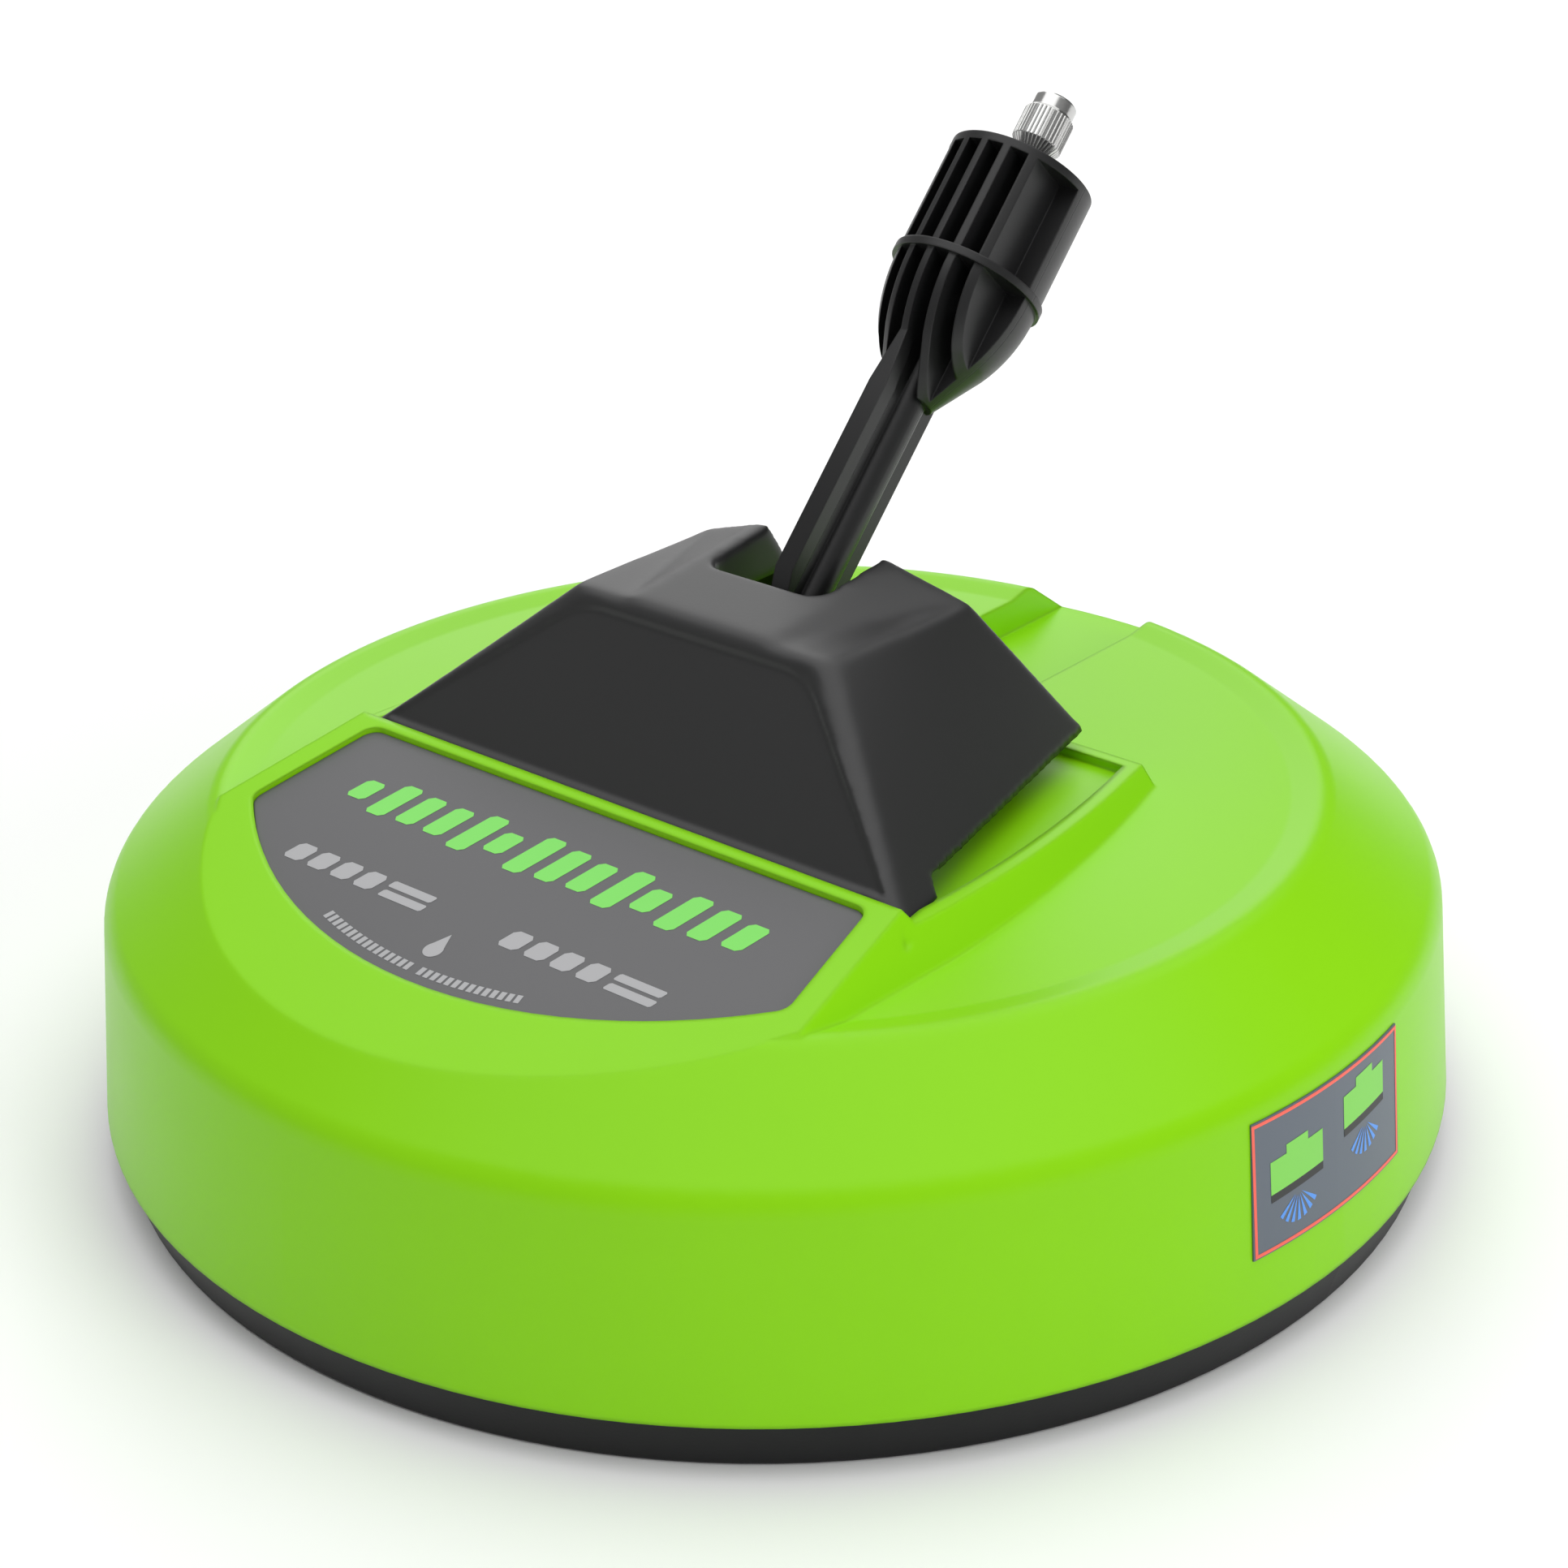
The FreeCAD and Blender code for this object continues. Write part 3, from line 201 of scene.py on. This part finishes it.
def finish(name, colour, gloss, grain_scale, grain_depth, edge_radius, metal=0.0, gloss_change=0.06,
           shine=0.5):
    """A material with the moulded skin, a fine bump and edges eased by a radius."""
    made = bpy.data.materials.new(name)
    made.use_nodes = True
    tree = made.node_tree
    shader = tree.nodes["Principled BSDF"]
    shader.inputs["Metallic"].default_value = metal
    shader.inputs["Specular IOR Level"].default_value = shine
    surface = tree.nodes.new("ShaderNodeGroup")
    surface.node_tree = skin
    surface.inputs["Colour"].default_value = colour
    surface.inputs["Gloss"].default_value = gloss
    surface.inputs["Gloss Change"].default_value = gloss_change
    surface.inputs["Grain Scale"].default_value = grain_scale
    eased = tree.nodes.new("ShaderNodeBevel")
    eased.samples = 4
    eased.inputs["Radius"].default_value = edge_radius
    bump = tree.nodes.new("ShaderNodeBump")
    bump.inputs["Distance"].default_value = grain_depth
    bump.inputs["Strength"].default_value = 0.6
    tree.links.new(surface.outputs["Colour"], shader.inputs["Base Color"])
    tree.links.new(surface.outputs["Roughness"], shader.inputs["Roughness"])
    tree.links.new(surface.outputs["Height"], bump.inputs["Height"])
    tree.links.new(eased.outputs["Normal"], bump.inputs["Normal"])
    tree.links.new(bump.outputs["Normal"], shader.inputs["Normal"])
    return made


def coat_nodes(material, *node_names):
    """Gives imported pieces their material."""
    for node_name in node_names:
        cad[node_name].data.materials.clear()
        cad[node_name].data.materials.append(material)


deck_plastic = finish("deck_plastic", deck_green, deck_gloss, 1400.0, 0.012 * mm, deck_edge_radius,
                      shine=0.22)
coat_nodes(deck_plastic, "shroud")


# ---- Badge ----------------------------------------------------------------------------------------
# A thin grey plastic plate is glued into the sloping front of the deck. A strip of slanted green
# bars, two rows of pale dashes and a drop are screen printed on it.
badge_grey = (0.098, 0.098, 0.102, 1.0)
badge_print_green = (0.20, 0.72, 0.11, 1.0)
badge_print_pale = (0.40, 0.40, 0.41, 1.0)
badge_slope = 0.2206
island_height, badge_sink = 91.6 * mm, 1.2 * mm
badge_face_y, badge_face_z = -52.0 * mm, island_height - badge_sink
print_lift = 0.06 * mm
bar_slant, bar_corner = 0.22, 0.18   # lean of the bars, and their cut corners as a share of their width

coat_nodes(finish("badge_plate", badge_grey, 0.42, 1600.0, 0.01 * mm, 0.3 * mm), "badge_plate")


def on_badge(x, y):
    """Point just above the plate's face."""
    return Vector((x * mm, y * mm, badge_face_z + badge_slope * (y * mm - badge_face_y) + print_lift))


def flat_shape(name, outlines):
    """Flat mesh of closed outlines, in millimetres."""
    points, faces = [], []
    for outline in outlines:
        faces.append(list(range(len(points), len(points) + len(outline))))
        points.extend((x, y, 0.0) for x, y in outline)
    mesh = bpy.data.meshes.new(name)
    mesh.from_pydata(points, [], faces)
    return mesh


def repeat_tree():
    """Geometry Nodes tree of repeated copies; each is moved and turned about Z by one step more."""
    tree = bpy.data.node_groups.new("repeated_shape", "GeometryNodeTree")
    for socket_name, kind in (("Geometry", "NodeSocketGeometry"), ("Copies", "NodeSocketInt"),
                              ("Step", "NodeSocketVector"), ("First Turn", "NodeSocketFloat"),
                              ("Turn", "NodeSocketFloat"), ("Material", "NodeSocketMaterial")):
        tree.interface.new_socket(socket_name, in_out="INPUT", socket_type=kind)
    tree.interface.new_socket("Geometry", in_out="OUTPUT", socket_type="NodeSocketGeometry")
    given = tree.nodes.new("NodeGroupInput")
    made = tree.nodes.new("NodeGroupOutput")
    places = tree.nodes.new("GeometryNodePoints")
    number = tree.nodes.new("GeometryNodeInputIndex")
    move = tree.nodes.new("ShaderNodeVectorMath")
    move.operation = "SCALE"
    angle = tree.nodes.new("ShaderNodeMath")
    angle.operation = "MULTIPLY_ADD"
    about_z = tree.nodes.new("ShaderNodeCombineXYZ")
    copies = tree.nodes.new("GeometryNodeInstanceOnPoints")
    joined = tree.nodes.new("GeometryNodeRealizeInstances")
    inked = tree.nodes.new("GeometryNodeSetMaterial")
    links = tree.links
    links.new(given.outputs["Copies"], places.inputs["Count"])
    links.new(given.outputs["Step"], move.inputs[0])
    links.new(number.outputs["Index"], move.inputs["Scale"])
    links.new(move.outputs["Vector"], places.inputs["Position"])
    links.new(number.outputs["Index"], angle.inputs[0])
    links.new(given.outputs["Turn"], angle.inputs[1])
    links.new(given.outputs["First Turn"], angle.inputs[2])
    links.new(angle.outputs[0], about_z.inputs["Z"])
    links.new(places.outputs["Points"], copies.inputs["Points"])
    links.new(given.outputs["Geometry"], copies.inputs["Instance"])
    links.new(about_z.outputs["Vector"], copies.inputs["Rotation"])
    links.new(copies.outputs["Instances"], joined.inputs["Geometry"])
    links.new(joined.outputs["Geometry"], inked.inputs["Geometry"])
    links.new(given.outputs["Material"], inked.inputs["Material"])
    links.new(inked.outputs["Geometry"], made.inputs["Geometry"])
    return tree


repeated_shape = repeat_tree()


def baked(holder, name):
    """Plain mesh of an object with its modifiers applied; the object itself is taken away."""
    bpy.context.view_layer.update()
    settled = bpy.context.evaluated_depsgraph_get()
    mesh = bpy.data.meshes.new_from_object(holder.evaluated_get(settled))
    mesh.name = name
    bpy.data.objects.remove(holder)
    return mesh


def repeated(name, mesh, material, copies, step=(0.0, 0.0, 0.0), first_turn=0.0, turn=0.0):
    """Plain mesh of a shape repeated along a row or round the Z axis."""
    holder = bpy.data.objects.new(name, mesh)
    bpy.context.scene.collection.objects.link(holder)
    repeat = holder.modifiers.new("repeat", "NODES")
    repeat.node_group = repeated_shape
    values = {"Copies": copies, "Step": step, "First Turn": first_turn, "Turn": turn,
              "Material": material}
    for socket in repeated_shape.interface.items_tree:
        if socket.in_out == "INPUT" and socket.name in values:
            repeat[socket.identifier] = values[socket.name]
    return baked(holder, name)


def printed(name, meshes, place, material, body):
    """One printed piece: flat shapes joined, and put on the surface by place()."""
    net = bmesh.new()
    for mesh in meshes:
        net.from_mesh(mesh)
    for point in net.verts:
        point.co = place(point.co.x, point.co.y)
    joined = bpy.data.meshes.new(name)
    net.to_mesh(joined)
    net.free()
    joined.materials.clear()
    joined.materials.append(material)
    piece = bpy.data.objects.new(name, joined)
    bpy.context.scene.collection.objects.link(piece)
    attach(piece, body)
    return piece


def slanted_bar(x, low, high, width):
    """Bar that leans to the right, with its corners cut."""
    cut = bar_corner * min(width, high - low)
    corners = ((x + cut, low), (x + width - cut, low), (x + width, low + cut), (x + width, high - cut),
               (x + width - cut, high), (x + cut, high), (x, high - cut), (x, low + cut))
    return [(px + bar_slant * (py - low), py) for px, py in corners]


green_ink = finish("badge_ink_green", badge_print_green, 0.5, 1600.0, 0.01 * mm, 0.05 * mm)
pale_ink = finish("badge_ink_pale", badge_print_pale, 0.5, 1600.0, 0.01 * mm, 0.05 * mm)

# green bars that swell and sink over the width of the plate, like a row of jets
bar_count, bar_first, bar_pitch, bar_width, bar_middle = 14, -61.0, 8.7, 5.6, -73.0
bar_rise, bar_wave_rise, bar_wave_turn, bar_end_share = 3.4, 3.6, 1.9, 0.6
bars = []
for index in range(bar_count):
    swell = bar_end_share + (1.0 - bar_end_share) * math.sin(math.pi * (index + 0.5) / bar_count)
    rise = bar_rise + bar_wave_rise * abs(math.sin(index * bar_wave_turn)) * swell
    bars.append(slanted_bar(bar_first + bar_pitch * index, bar_middle - rise, bar_middle + rise,
                            bar_width))
printed("badge_bars", [flat_shape("bars", bars)], on_badge, green_ink, "deck")

# two groups of dashes and lines, a drop between them, and a row of ticks along the plate's low edge
dash_low, dash_high, dash_width, dash_pitch = -99.4, -93.8, 5.6, 7.4
line_start, line_height, line_width, line_pitch = 30.6, 2.2, 13.0, 3.2
marks = []
for start in (-57.0, 9.5):
    dash = flat_shape("dash", [slanted_bar(start, dash_low, dash_high, dash_width)])
    marks.append(repeated("dashes", dash, pale_ink, 4, step=(dash_pitch, 0.0, 0.0)))
    line = flat_shape("line", [slanted_bar(start + line_start, dash_low, dash_low + line_height,
                                           line_width)])
    marks.append(repeated("lines", line, pale_ink, 2, step=(0.0, line_pitch, 0.0)))
drop_x, drop_y, drop_radius, drop_tip = -1.0, -107.2, 2.3, 2.4   # the tip's height is in radii
drop = [(drop_x + drop_radius * math.sin(turn), drop_y - drop_radius * math.cos(turn))
        for turn in (math.radians(step) for step in range(-130, 131, 10))]
marks.append(flat_shape("drop", [drop + [(drop_x, drop_y + drop_tip * drop_radius)]]))
tick_half, tick_near, tick_far, tick_turn = 0.65, -112.4, -114.8, math.radians(0.98)
tick = flat_shape("tick", [[(-tick_half, tick_far), (tick_half, tick_far), (tick_half, tick_near),
                            (-tick_half, tick_near)]])
for first, ticks in ((-16, 16), (1, 14)):
    marks.append(repeated("ticks", tick, pale_ink, ticks, first_turn=first * tick_turn,
                          turn=tick_turn))
printed("badge_marks", marks, on_badge, pale_ink, "deck")


# ---- Side label -----------------------------------------------------------------------------------
# A slate-coloured vinyl sticker lies round the right-hand wall. It has a thin red border and a plain
# picture of two green decks with blue jets of water under them.
label_near, label_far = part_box("side_label")
label_low, label_high = label_near.z / mm, label_far.z / mm
label_half_width = (label_far.y - label_near.y) / 2 / mm
label_turn = math.radians(-1.0)
label_foot_radius, label_foot_height, wall_fall = 158.0, 12.0, 4.3 / 49.0
label_skin = 0.4

label_slate, label_red = (0.108, 0.130, 0.162, 1.0), (0.95, 0.13, 0.09, 1.0)
label_green, label_dark = (0.22, 0.66, 0.09, 1.0), (0.022, 0.022, 0.024, 1.0)
label_blue = (0.10, 0.32, 0.86, 1.0)

coat_nodes(finish("label_vinyl", label_slate, 0.38, 1600.0, 0.006 * mm, 0.2 * mm), "side_label")


def on_wall(along, height):
    """Point just outside the sticker: along the wall from its middle, and above the floor."""
    radius = label_foot_radius - wall_fall * (height - label_foot_height) + label_skin + print_lift / mm
    turn = label_turn + along / radius
    return Vector((radius * math.cos(turn) * mm, radius * math.sin(turn) * mm, height * mm))


def label_ink(name, colour):
    """Thin ink printed on the sticker."""
    return finish(name, colour, 0.45, 1600.0, 0.006 * mm, 0.05 * mm)


def band(x0, z0, x1, z1, lean=0.0, steps=16):
    """Band with its right end raised by lean, cut in short lengths so that it follows the wall."""
    shapes = []
    for step in range(steps):
        a, b = x0 + (x1 - x0) * step / steps, x0 + (x1 - x0) * (step + 1) / steps
        rise_a, rise_b = lean * step / steps, lean * (step + 1) / steps
        shapes.append([(a, z0 + rise_a), (b, z0 + rise_b), (b, z1 + rise_b), (a, z1 + rise_a)])
    return shapes


border_width, border_gap, border_steps = 0.8, 0.3, 24
left, right = -label_half_width + border_gap, label_half_width - border_gap
low, high = label_low + border_gap, label_high - border_gap
border_shapes = (band(left, low, right, low + border_width, steps=border_steps)
                 + band(left, high - border_width, right, high, steps=border_steps)
                 + band(left, low + border_width, left + border_width, high - border_width, steps=1)
                 + band(right - border_width, low + border_width, right, high - border_width, steps=1))
printed("label_border", [flat_shape("border", border_shapes)], on_wall,
        label_ink("label_ink_red", label_red), "deck")

# each picture of a deck is placed by its left end, its skirt's foot and the gap under its cap
pictures = ((-22.0, 37.2, 0.1), (3.0, 41.7, 0.3))
picture_width, skirt_rise, deck_rise, picture_lean = 17.0, 1.8, 7.5, 1.0
cap_start, cap_width, cap_rise, cap_lean = 5.0, 7.0, 2.3, 0.4
deck_shapes, cap_shapes, skirt_shapes = [], [], []
for start, foot, cap_gap in pictures:
    deck_foot, deck_top = foot + skirt_rise, foot + skirt_rise + deck_rise
    skirt_shapes += band(start, foot, start + picture_width, deck_foot, picture_lean)
    deck_shapes += band(start, deck_foot, start + picture_width, deck_top, picture_lean)
    cap_shapes += band(start + cap_start, deck_top + cap_gap, start + cap_start + cap_width,
                       deck_top + cap_rise, cap_lean)
printed("label_decks", [flat_shape("decks", deck_shapes + cap_shapes)], on_wall,
        label_ink("label_ink_green", label_green), "deck")
printed("label_skirts", [flat_shape("skirts", skirt_shapes)], on_wall,
        label_ink("label_ink_dark", label_dark), "deck")

# a fan of water jets under each picture
jet_ink = label_ink("label_ink_blue", label_blue)
jet_count, jet_turn, fan_start = 7, math.radians(17), 8.5
jet_reach, jet_half, jet_top = 7.2, 0.55, 1.3
jet = flat_shape("jet", [[(0.0, -jet_top), (-jet_half, -jet_reach), (jet_half, -jet_reach)]])
jets = []
for start, foot, cap_gap in pictures:
    fan = repeated("fan", jet, jet_ink, jet_count, first_turn=-(jet_count // 2) * jet_turn, turn=jet_turn)
    fan.transform(Matrix.Translation((start + fan_start, foot, 0.0)))
    jets.append(fan)
printed("label_jets", jets, on_wall, jet_ink, "deck")


# ---- Skirt ring -----------------------------------------------------------------------------------
# The black ring under the deck's wall is moulded in a tougher, duller plastic that rubs along the
# ground. Six screws hold it from below.
skirt_black = (0.009, 0.009, 0.0095, 1.0)
skirt_plastic = finish("skirt_plastic", skirt_black, 0.45, 1100.0, 0.03 * mm, 0.6 * mm, shine=0.2)
coat_nodes(skirt_plastic, "skirt_ring")
screw_steel = finish("screw_steel", (0.42, 0.42, 0.43, 1.0), 0.30, 700.0, 0.01 * mm, 0.2 * mm, metal=1.0)
coat_nodes(screw_steel, "skirt_screws", "cover_screws", "yoke_screws", "retainer_screws", "wand_screws")


# ---- Cover ----------------------------------------------------------------------------------------
# The wedge-shaped cover over the pivot is moulded in black polypropylene. All its outer edges are
# soft, and the two front pillars are the softest. Screws from under the deck hold it by four posts.
cover_plastic = finish("cover_plastic", (0.0185, 0.0185, 0.019, 1.0), 0.42, 1300.0, 0.02 * mm, 0.8 * mm)
cover_net = 0.85 * mm   # spacing of the even net that is eased
cover_rim_height, cover_edge, feet_rear = 90.5 * mm, 89.6 * mm, -30.0 * mm
front_foot, front_top = Vector((0.0, -53.1, 88.6)) * mm, Vector((0.0, -24.0, 125.5)) * mm
panel_low, panel_high, panel_low_half, panel_high_half = 3.8 * mm, 43.6 * mm, 75.1 * mm, 33.4 * mm
panel_corner, panel_depth = 5.0 * mm, 1.0 * mm
up_face = (front_top - front_foot).normalized()
out_of_face = Vector((0.0, -up_face.z, up_face.y))
slot_half, slot_front = 16.5 * mm, -2.3 * mm
soft_passes, even_passes, pass_strength = 38, 4, 0.5

# near the panel, the slot and the rim the easing fades out over these distances
panel_fade, rim_fade = 2.0 * mm, 3.0 * mm
front_fade_start, front_fade_end = 3.0 * mm, 4.0 * mm
slot_fade_start, slot_fade_end = 0.5 * mm, 4.0 * mm
slot_softness, rim_softness = 0.25, 0.55
panel_step_outside, panel_step_inside = 0.3 * mm, 0.9 * mm
front_skin, front_facing, rim_skin = 1.9 * mm, 0.3, 1.1 * mm


def ramp(value, low, high):
    """0 below low, 1 above high, and a smooth rise between them."""
    share = min(1.0, max(0.0, (value - low) / (high - low)))
    return share * share * (3.0 - 2.0 * share)


def front_height(point):
    """Distance in front of the cover's front face."""
    return (point - front_foot).dot(out_of_face)


def panel_distance(point):
    """Distance outside the front panel's outline, along the front face; negative inside it."""
    along = (point - front_foot).dot(up_face)
    share = (along - panel_low) / (panel_high - panel_low)
    half = panel_low_half + (panel_high_half - panel_low_half) * share
    lean = math.atan2(panel_low_half - panel_high_half, panel_high - panel_low)
    beside = (abs(point.x) - half) * math.cos(lean)
    above, below = along - panel_high, panel_low - along
    nearest = max(beside, above, below)
    if beside > -panel_corner and above > -panel_corner:
        nearest = math.hypot(max(beside + panel_corner, 0.0),
                             max(above + panel_corner, 0.0)) - panel_corner
    return nearest


def cover_softness(point):
    """How far a point may be eased: not at all on the front panel, and less by the slot and the rim."""
    off_panel = max(ramp(panel_distance(point), 0.0, panel_fade),
                    ramp(-front_height(point), front_fade_start, front_fade_end))
    off_slot = max(ramp(abs(point.x) - slot_half, slot_fade_start, slot_fade_end),
                   ramp(slot_front - point.y, slot_fade_start, slot_fade_end))
    above_rim = ramp(point.z, cover_rim_height, cover_rim_height + rim_fade)
    return (off_panel * (slot_softness + (1.0 - slot_softness) * off_slot)
            * (rim_softness + (1.0 - rim_softness) * above_rim))


def joined_copy(node_name):
    """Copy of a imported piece's mesh as one net of faces, for bmesh work."""
    net = bmesh.new()
    net.from_mesh(cad[node_name].data)
    bmesh.ops.remove_doubles(net, verts=net.verts, dist=0.001 * mm)
    return net


net = joined_copy("top_cover")
cover_mesh = bpy.data.meshes.new("cover_net")
net.to_mesh(cover_mesh)
net.free()
holder = bpy.data.objects.new("cover_net", cover_mesh)
bpy.context.scene.collection.objects.link(holder)
even = holder.modifiers.new("even_net", "REMESH")
even.mode = "VOXEL"
even.voxel_size = cover_net
holder = bpy.data.objects.new("cover_soft", baked(holder, "cover_even"))
bpy.context.scene.collection.objects.link(holder)
soft_edges = holder.vertex_groups.new(name="soft_edges")
for vertex in holder.data.vertices:
    soft_edges.add([vertex.index], cover_softness(vertex.co), "REPLACE")
eased = holder.modifiers.new("eased", "SMOOTH")
eased.factor, eased.iterations, eased.vertex_group = pass_strength, soft_passes, "soft_edges"
evened = holder.modifiers.new("evened", "SMOOTH")
evened.factor, evened.iterations = pass_strength, even_passes
cover_mesh = baked(holder, "cover")

# the panel is pressed in, and the lower rim is made level again
in_front = [vertex.index for vertex in cover_mesh.vertices
            if front_height(vertex.co) > -front_skin and vertex.normal.dot(out_of_face) > front_facing]
for index in in_front:
    place = cover_mesh.vertices[index].co
    sunk = panel_depth * ramp(-panel_distance(place), -panel_step_outside, panel_step_inside)
    place += out_of_face * min(0.0, -sunk - front_height(place))
for vertex in cover_mesh.vertices:
    behind_feet = vertex.co.y > feet_rear and abs(vertex.co.x) > slot_half
    if behind_feet and vertex.co.z < cover_edge + rim_skin:
        vertex.co.z = cover_edge
cover_mesh.shade_smooth()
cover_mesh.materials.clear()
cover_mesh.materials.append(cover_plastic)
cover = bpy.data.objects.new("cover", cover_mesh)
bpy.context.scene.collection.objects.link(cover)
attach(cover, "deck")
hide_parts("top_cover")


# ---- Wand -----------------------------------------------------------------------------------------
# Two black glass-filled nylon halves, ribbed in front and smooth behind, are screwed together round
# the steel lance tube. The bar along the front of the stem narrows into the head's middle rib.
wand_plastic = finish("wand_plastic", (0.010, 0.010, 0.0105, 1.0), 0.38, 1500.0, 0.02 * mm, 0.5 * mm)
coat_nodes(wand_plastic, "wand_front_shell", "wand_back_shell")
pivot_place, wand_lean = Vector((0.0, 0.0, 104.0)) * mm, math.radians(44.0)
bar_half, bar_back, rib_half = 2.5 * mm, -9.1 * mm, 0.92 * mm
taper_low, taper_high = 71.0 * mm, 85.3 * mm
cut_gap, near, sharp_turn = 0.0001 * mm, 0.05 * mm, math.radians(28)

leaned = Matrix.Translation(pivot_place) @ Matrix.Rotation(-wand_lean, 4, "X")
net = joined_copy("wand_front_shell")
net.transform(leaned.inverted())
bmesh.ops.bisect_plane(net, geom=net.verts[:] + net.edges[:] + net.faces[:], dist=cut_gap,
                       plane_co=(0.0, 0.0, taper_low), plane_no=(0.0, 0.0, 1.0))
for point in net.verts:
    on_bar = point.co.y < bar_back + near and rib_half < abs(point.co.x) < bar_half + near
    if on_bar and taper_low < point.co.z < taper_high + near:
        share = (point.co.z - taper_low) / (taper_high - taper_low)
        half = abs(point.co.x) + (rib_half - bar_half) * share
        point.co.x = math.copysign(max(half, rib_half), point.co.x)
net.transform(leaned)
front_mesh = bpy.data.meshes.new("wand_front")
net.to_mesh(front_mesh)
net.free()
old_normals = front_mesh.attributes.get("custom_normal")
if old_normals:
    front_mesh.attributes.remove(old_normals)
front_mesh.shade_smooth()
front_mesh.set_sharp_from_angle(angle=sharp_turn)
front_mesh.materials.clear()
front_mesh.materials.append(wand_plastic)
wand_front = bpy.data.objects.new("wand_front", front_mesh)
bpy.context.scene.collection.objects.link(wand_front)
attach(wand_front, "wand")
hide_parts("wand_front_shell")


# ---- Pivot and swivel -----------------------------------------------------------------------------
# The water block and the swivel's body are machined from black acetal. The screw plugs are brass and
# the seals are rubber. The bushes and the retainer are white bearing plastic.
block_plastic = finish("block_plastic", (0.020, 0.020, 0.021, 1.0), 0.45, 500.0, 0.02 * mm, 0.4 * mm)
coat_nodes(block_plastic, "pivot_yoke", "swivel_housing", "spray_hub")
brass = finish("brass", (0.62, 0.40, 0.13, 1.0), 0.28, 900.0, 0.01 * mm, 0.3 * mm, metal=1.0)
coat_nodes(brass, "pivot_plugs", "hub_cap", "nozzle_bodies")
seal_rubber = finish("seal_rubber", (0.012, 0.012, 0.012, 1.0), 0.75, 900.0, 0.02 * mm, 0.2 * mm)
coat_nodes(seal_rubber, "trunnion_seals", "plug_seal", "shaft_seal")
bush_plastic = finish("bush_plastic", (0.60, 0.58, 0.52, 1.0), 0.45, 700.0, 0.01 * mm, 0.3 * mm)
coat_nodes(bush_plastic, "upper_bush", "lower_bush", "bush_retainer")


# ---- Steel parts ----------------------------------------------------------------------------------
# The plug, the hollow shaft, the cross shaft and the nozzle tips are turned from stainless steel, and
# the lance tube and the spray arms are drawn from it. The retaining ring and the washer are stamped.
stainless = finish("stainless", (0.62, 0.62, 0.61, 1.0), 0.20, 1200.0, 0.008 * mm, 0.3 * mm, metal=1.0)
coat_nodes(stainless, "lance_tube", "trunnion_tee", "rotor_shaft", "shaft_circlip", "thrust_washer",
           "spray_arm_left", "spray_arm_right", "nozzle_tips", "quick_plug")


# ---- Plug grip ------------------------------------------------------------------------------------
# Fine straight knurling is rolled lengthwise into the steel of the plug's collar and of the cone below
# it, so that wet hands can hold it. Each ridge is a low three-sided bar that lies along the plug.
plug_foot = 135.0 * mm
ridge_count, ridge_half, ridge_rise, ridge_sink = 36, 0.30 * mm, 0.24 * mm, 0.05 * mm
grip_line = [(4.1 * mm, 5.3 * mm), (5.95 * mm, 7.9 * mm), (5.95 * mm, 15.4 * mm)]

points, faces = [], []
for radius, height in grip_line:
    points.extend([(radius - ridge_sink, -ridge_half, plug_foot + height),
                   (radius + ridge_rise, 0.0, plug_foot + height),
                   (radius - ridge_sink, ridge_half, plug_foot + height)])
for row in (0, 3):
    faces.extend([(row, row + 1, row + 4, row + 3), (row + 1, row + 2, row + 5, row + 4),
                  (row + 2, row, row + 3, row + 5)])
faces.extend([(2, 1, 0), (6, 7, 8)])
ridge = bpy.data.meshes.new("ridge")
ridge.from_pydata(points, [], faces)
grip_mesh = repeated("plug_grip", ridge, stainless, ridge_count, turn=2.0 * math.pi / ridge_count)
grip_mesh.transform(leaned)
grip = bpy.data.objects.new("plug_grip", grip_mesh)
bpy.context.scene.collection.objects.link(grip)
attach(grip, "wand")
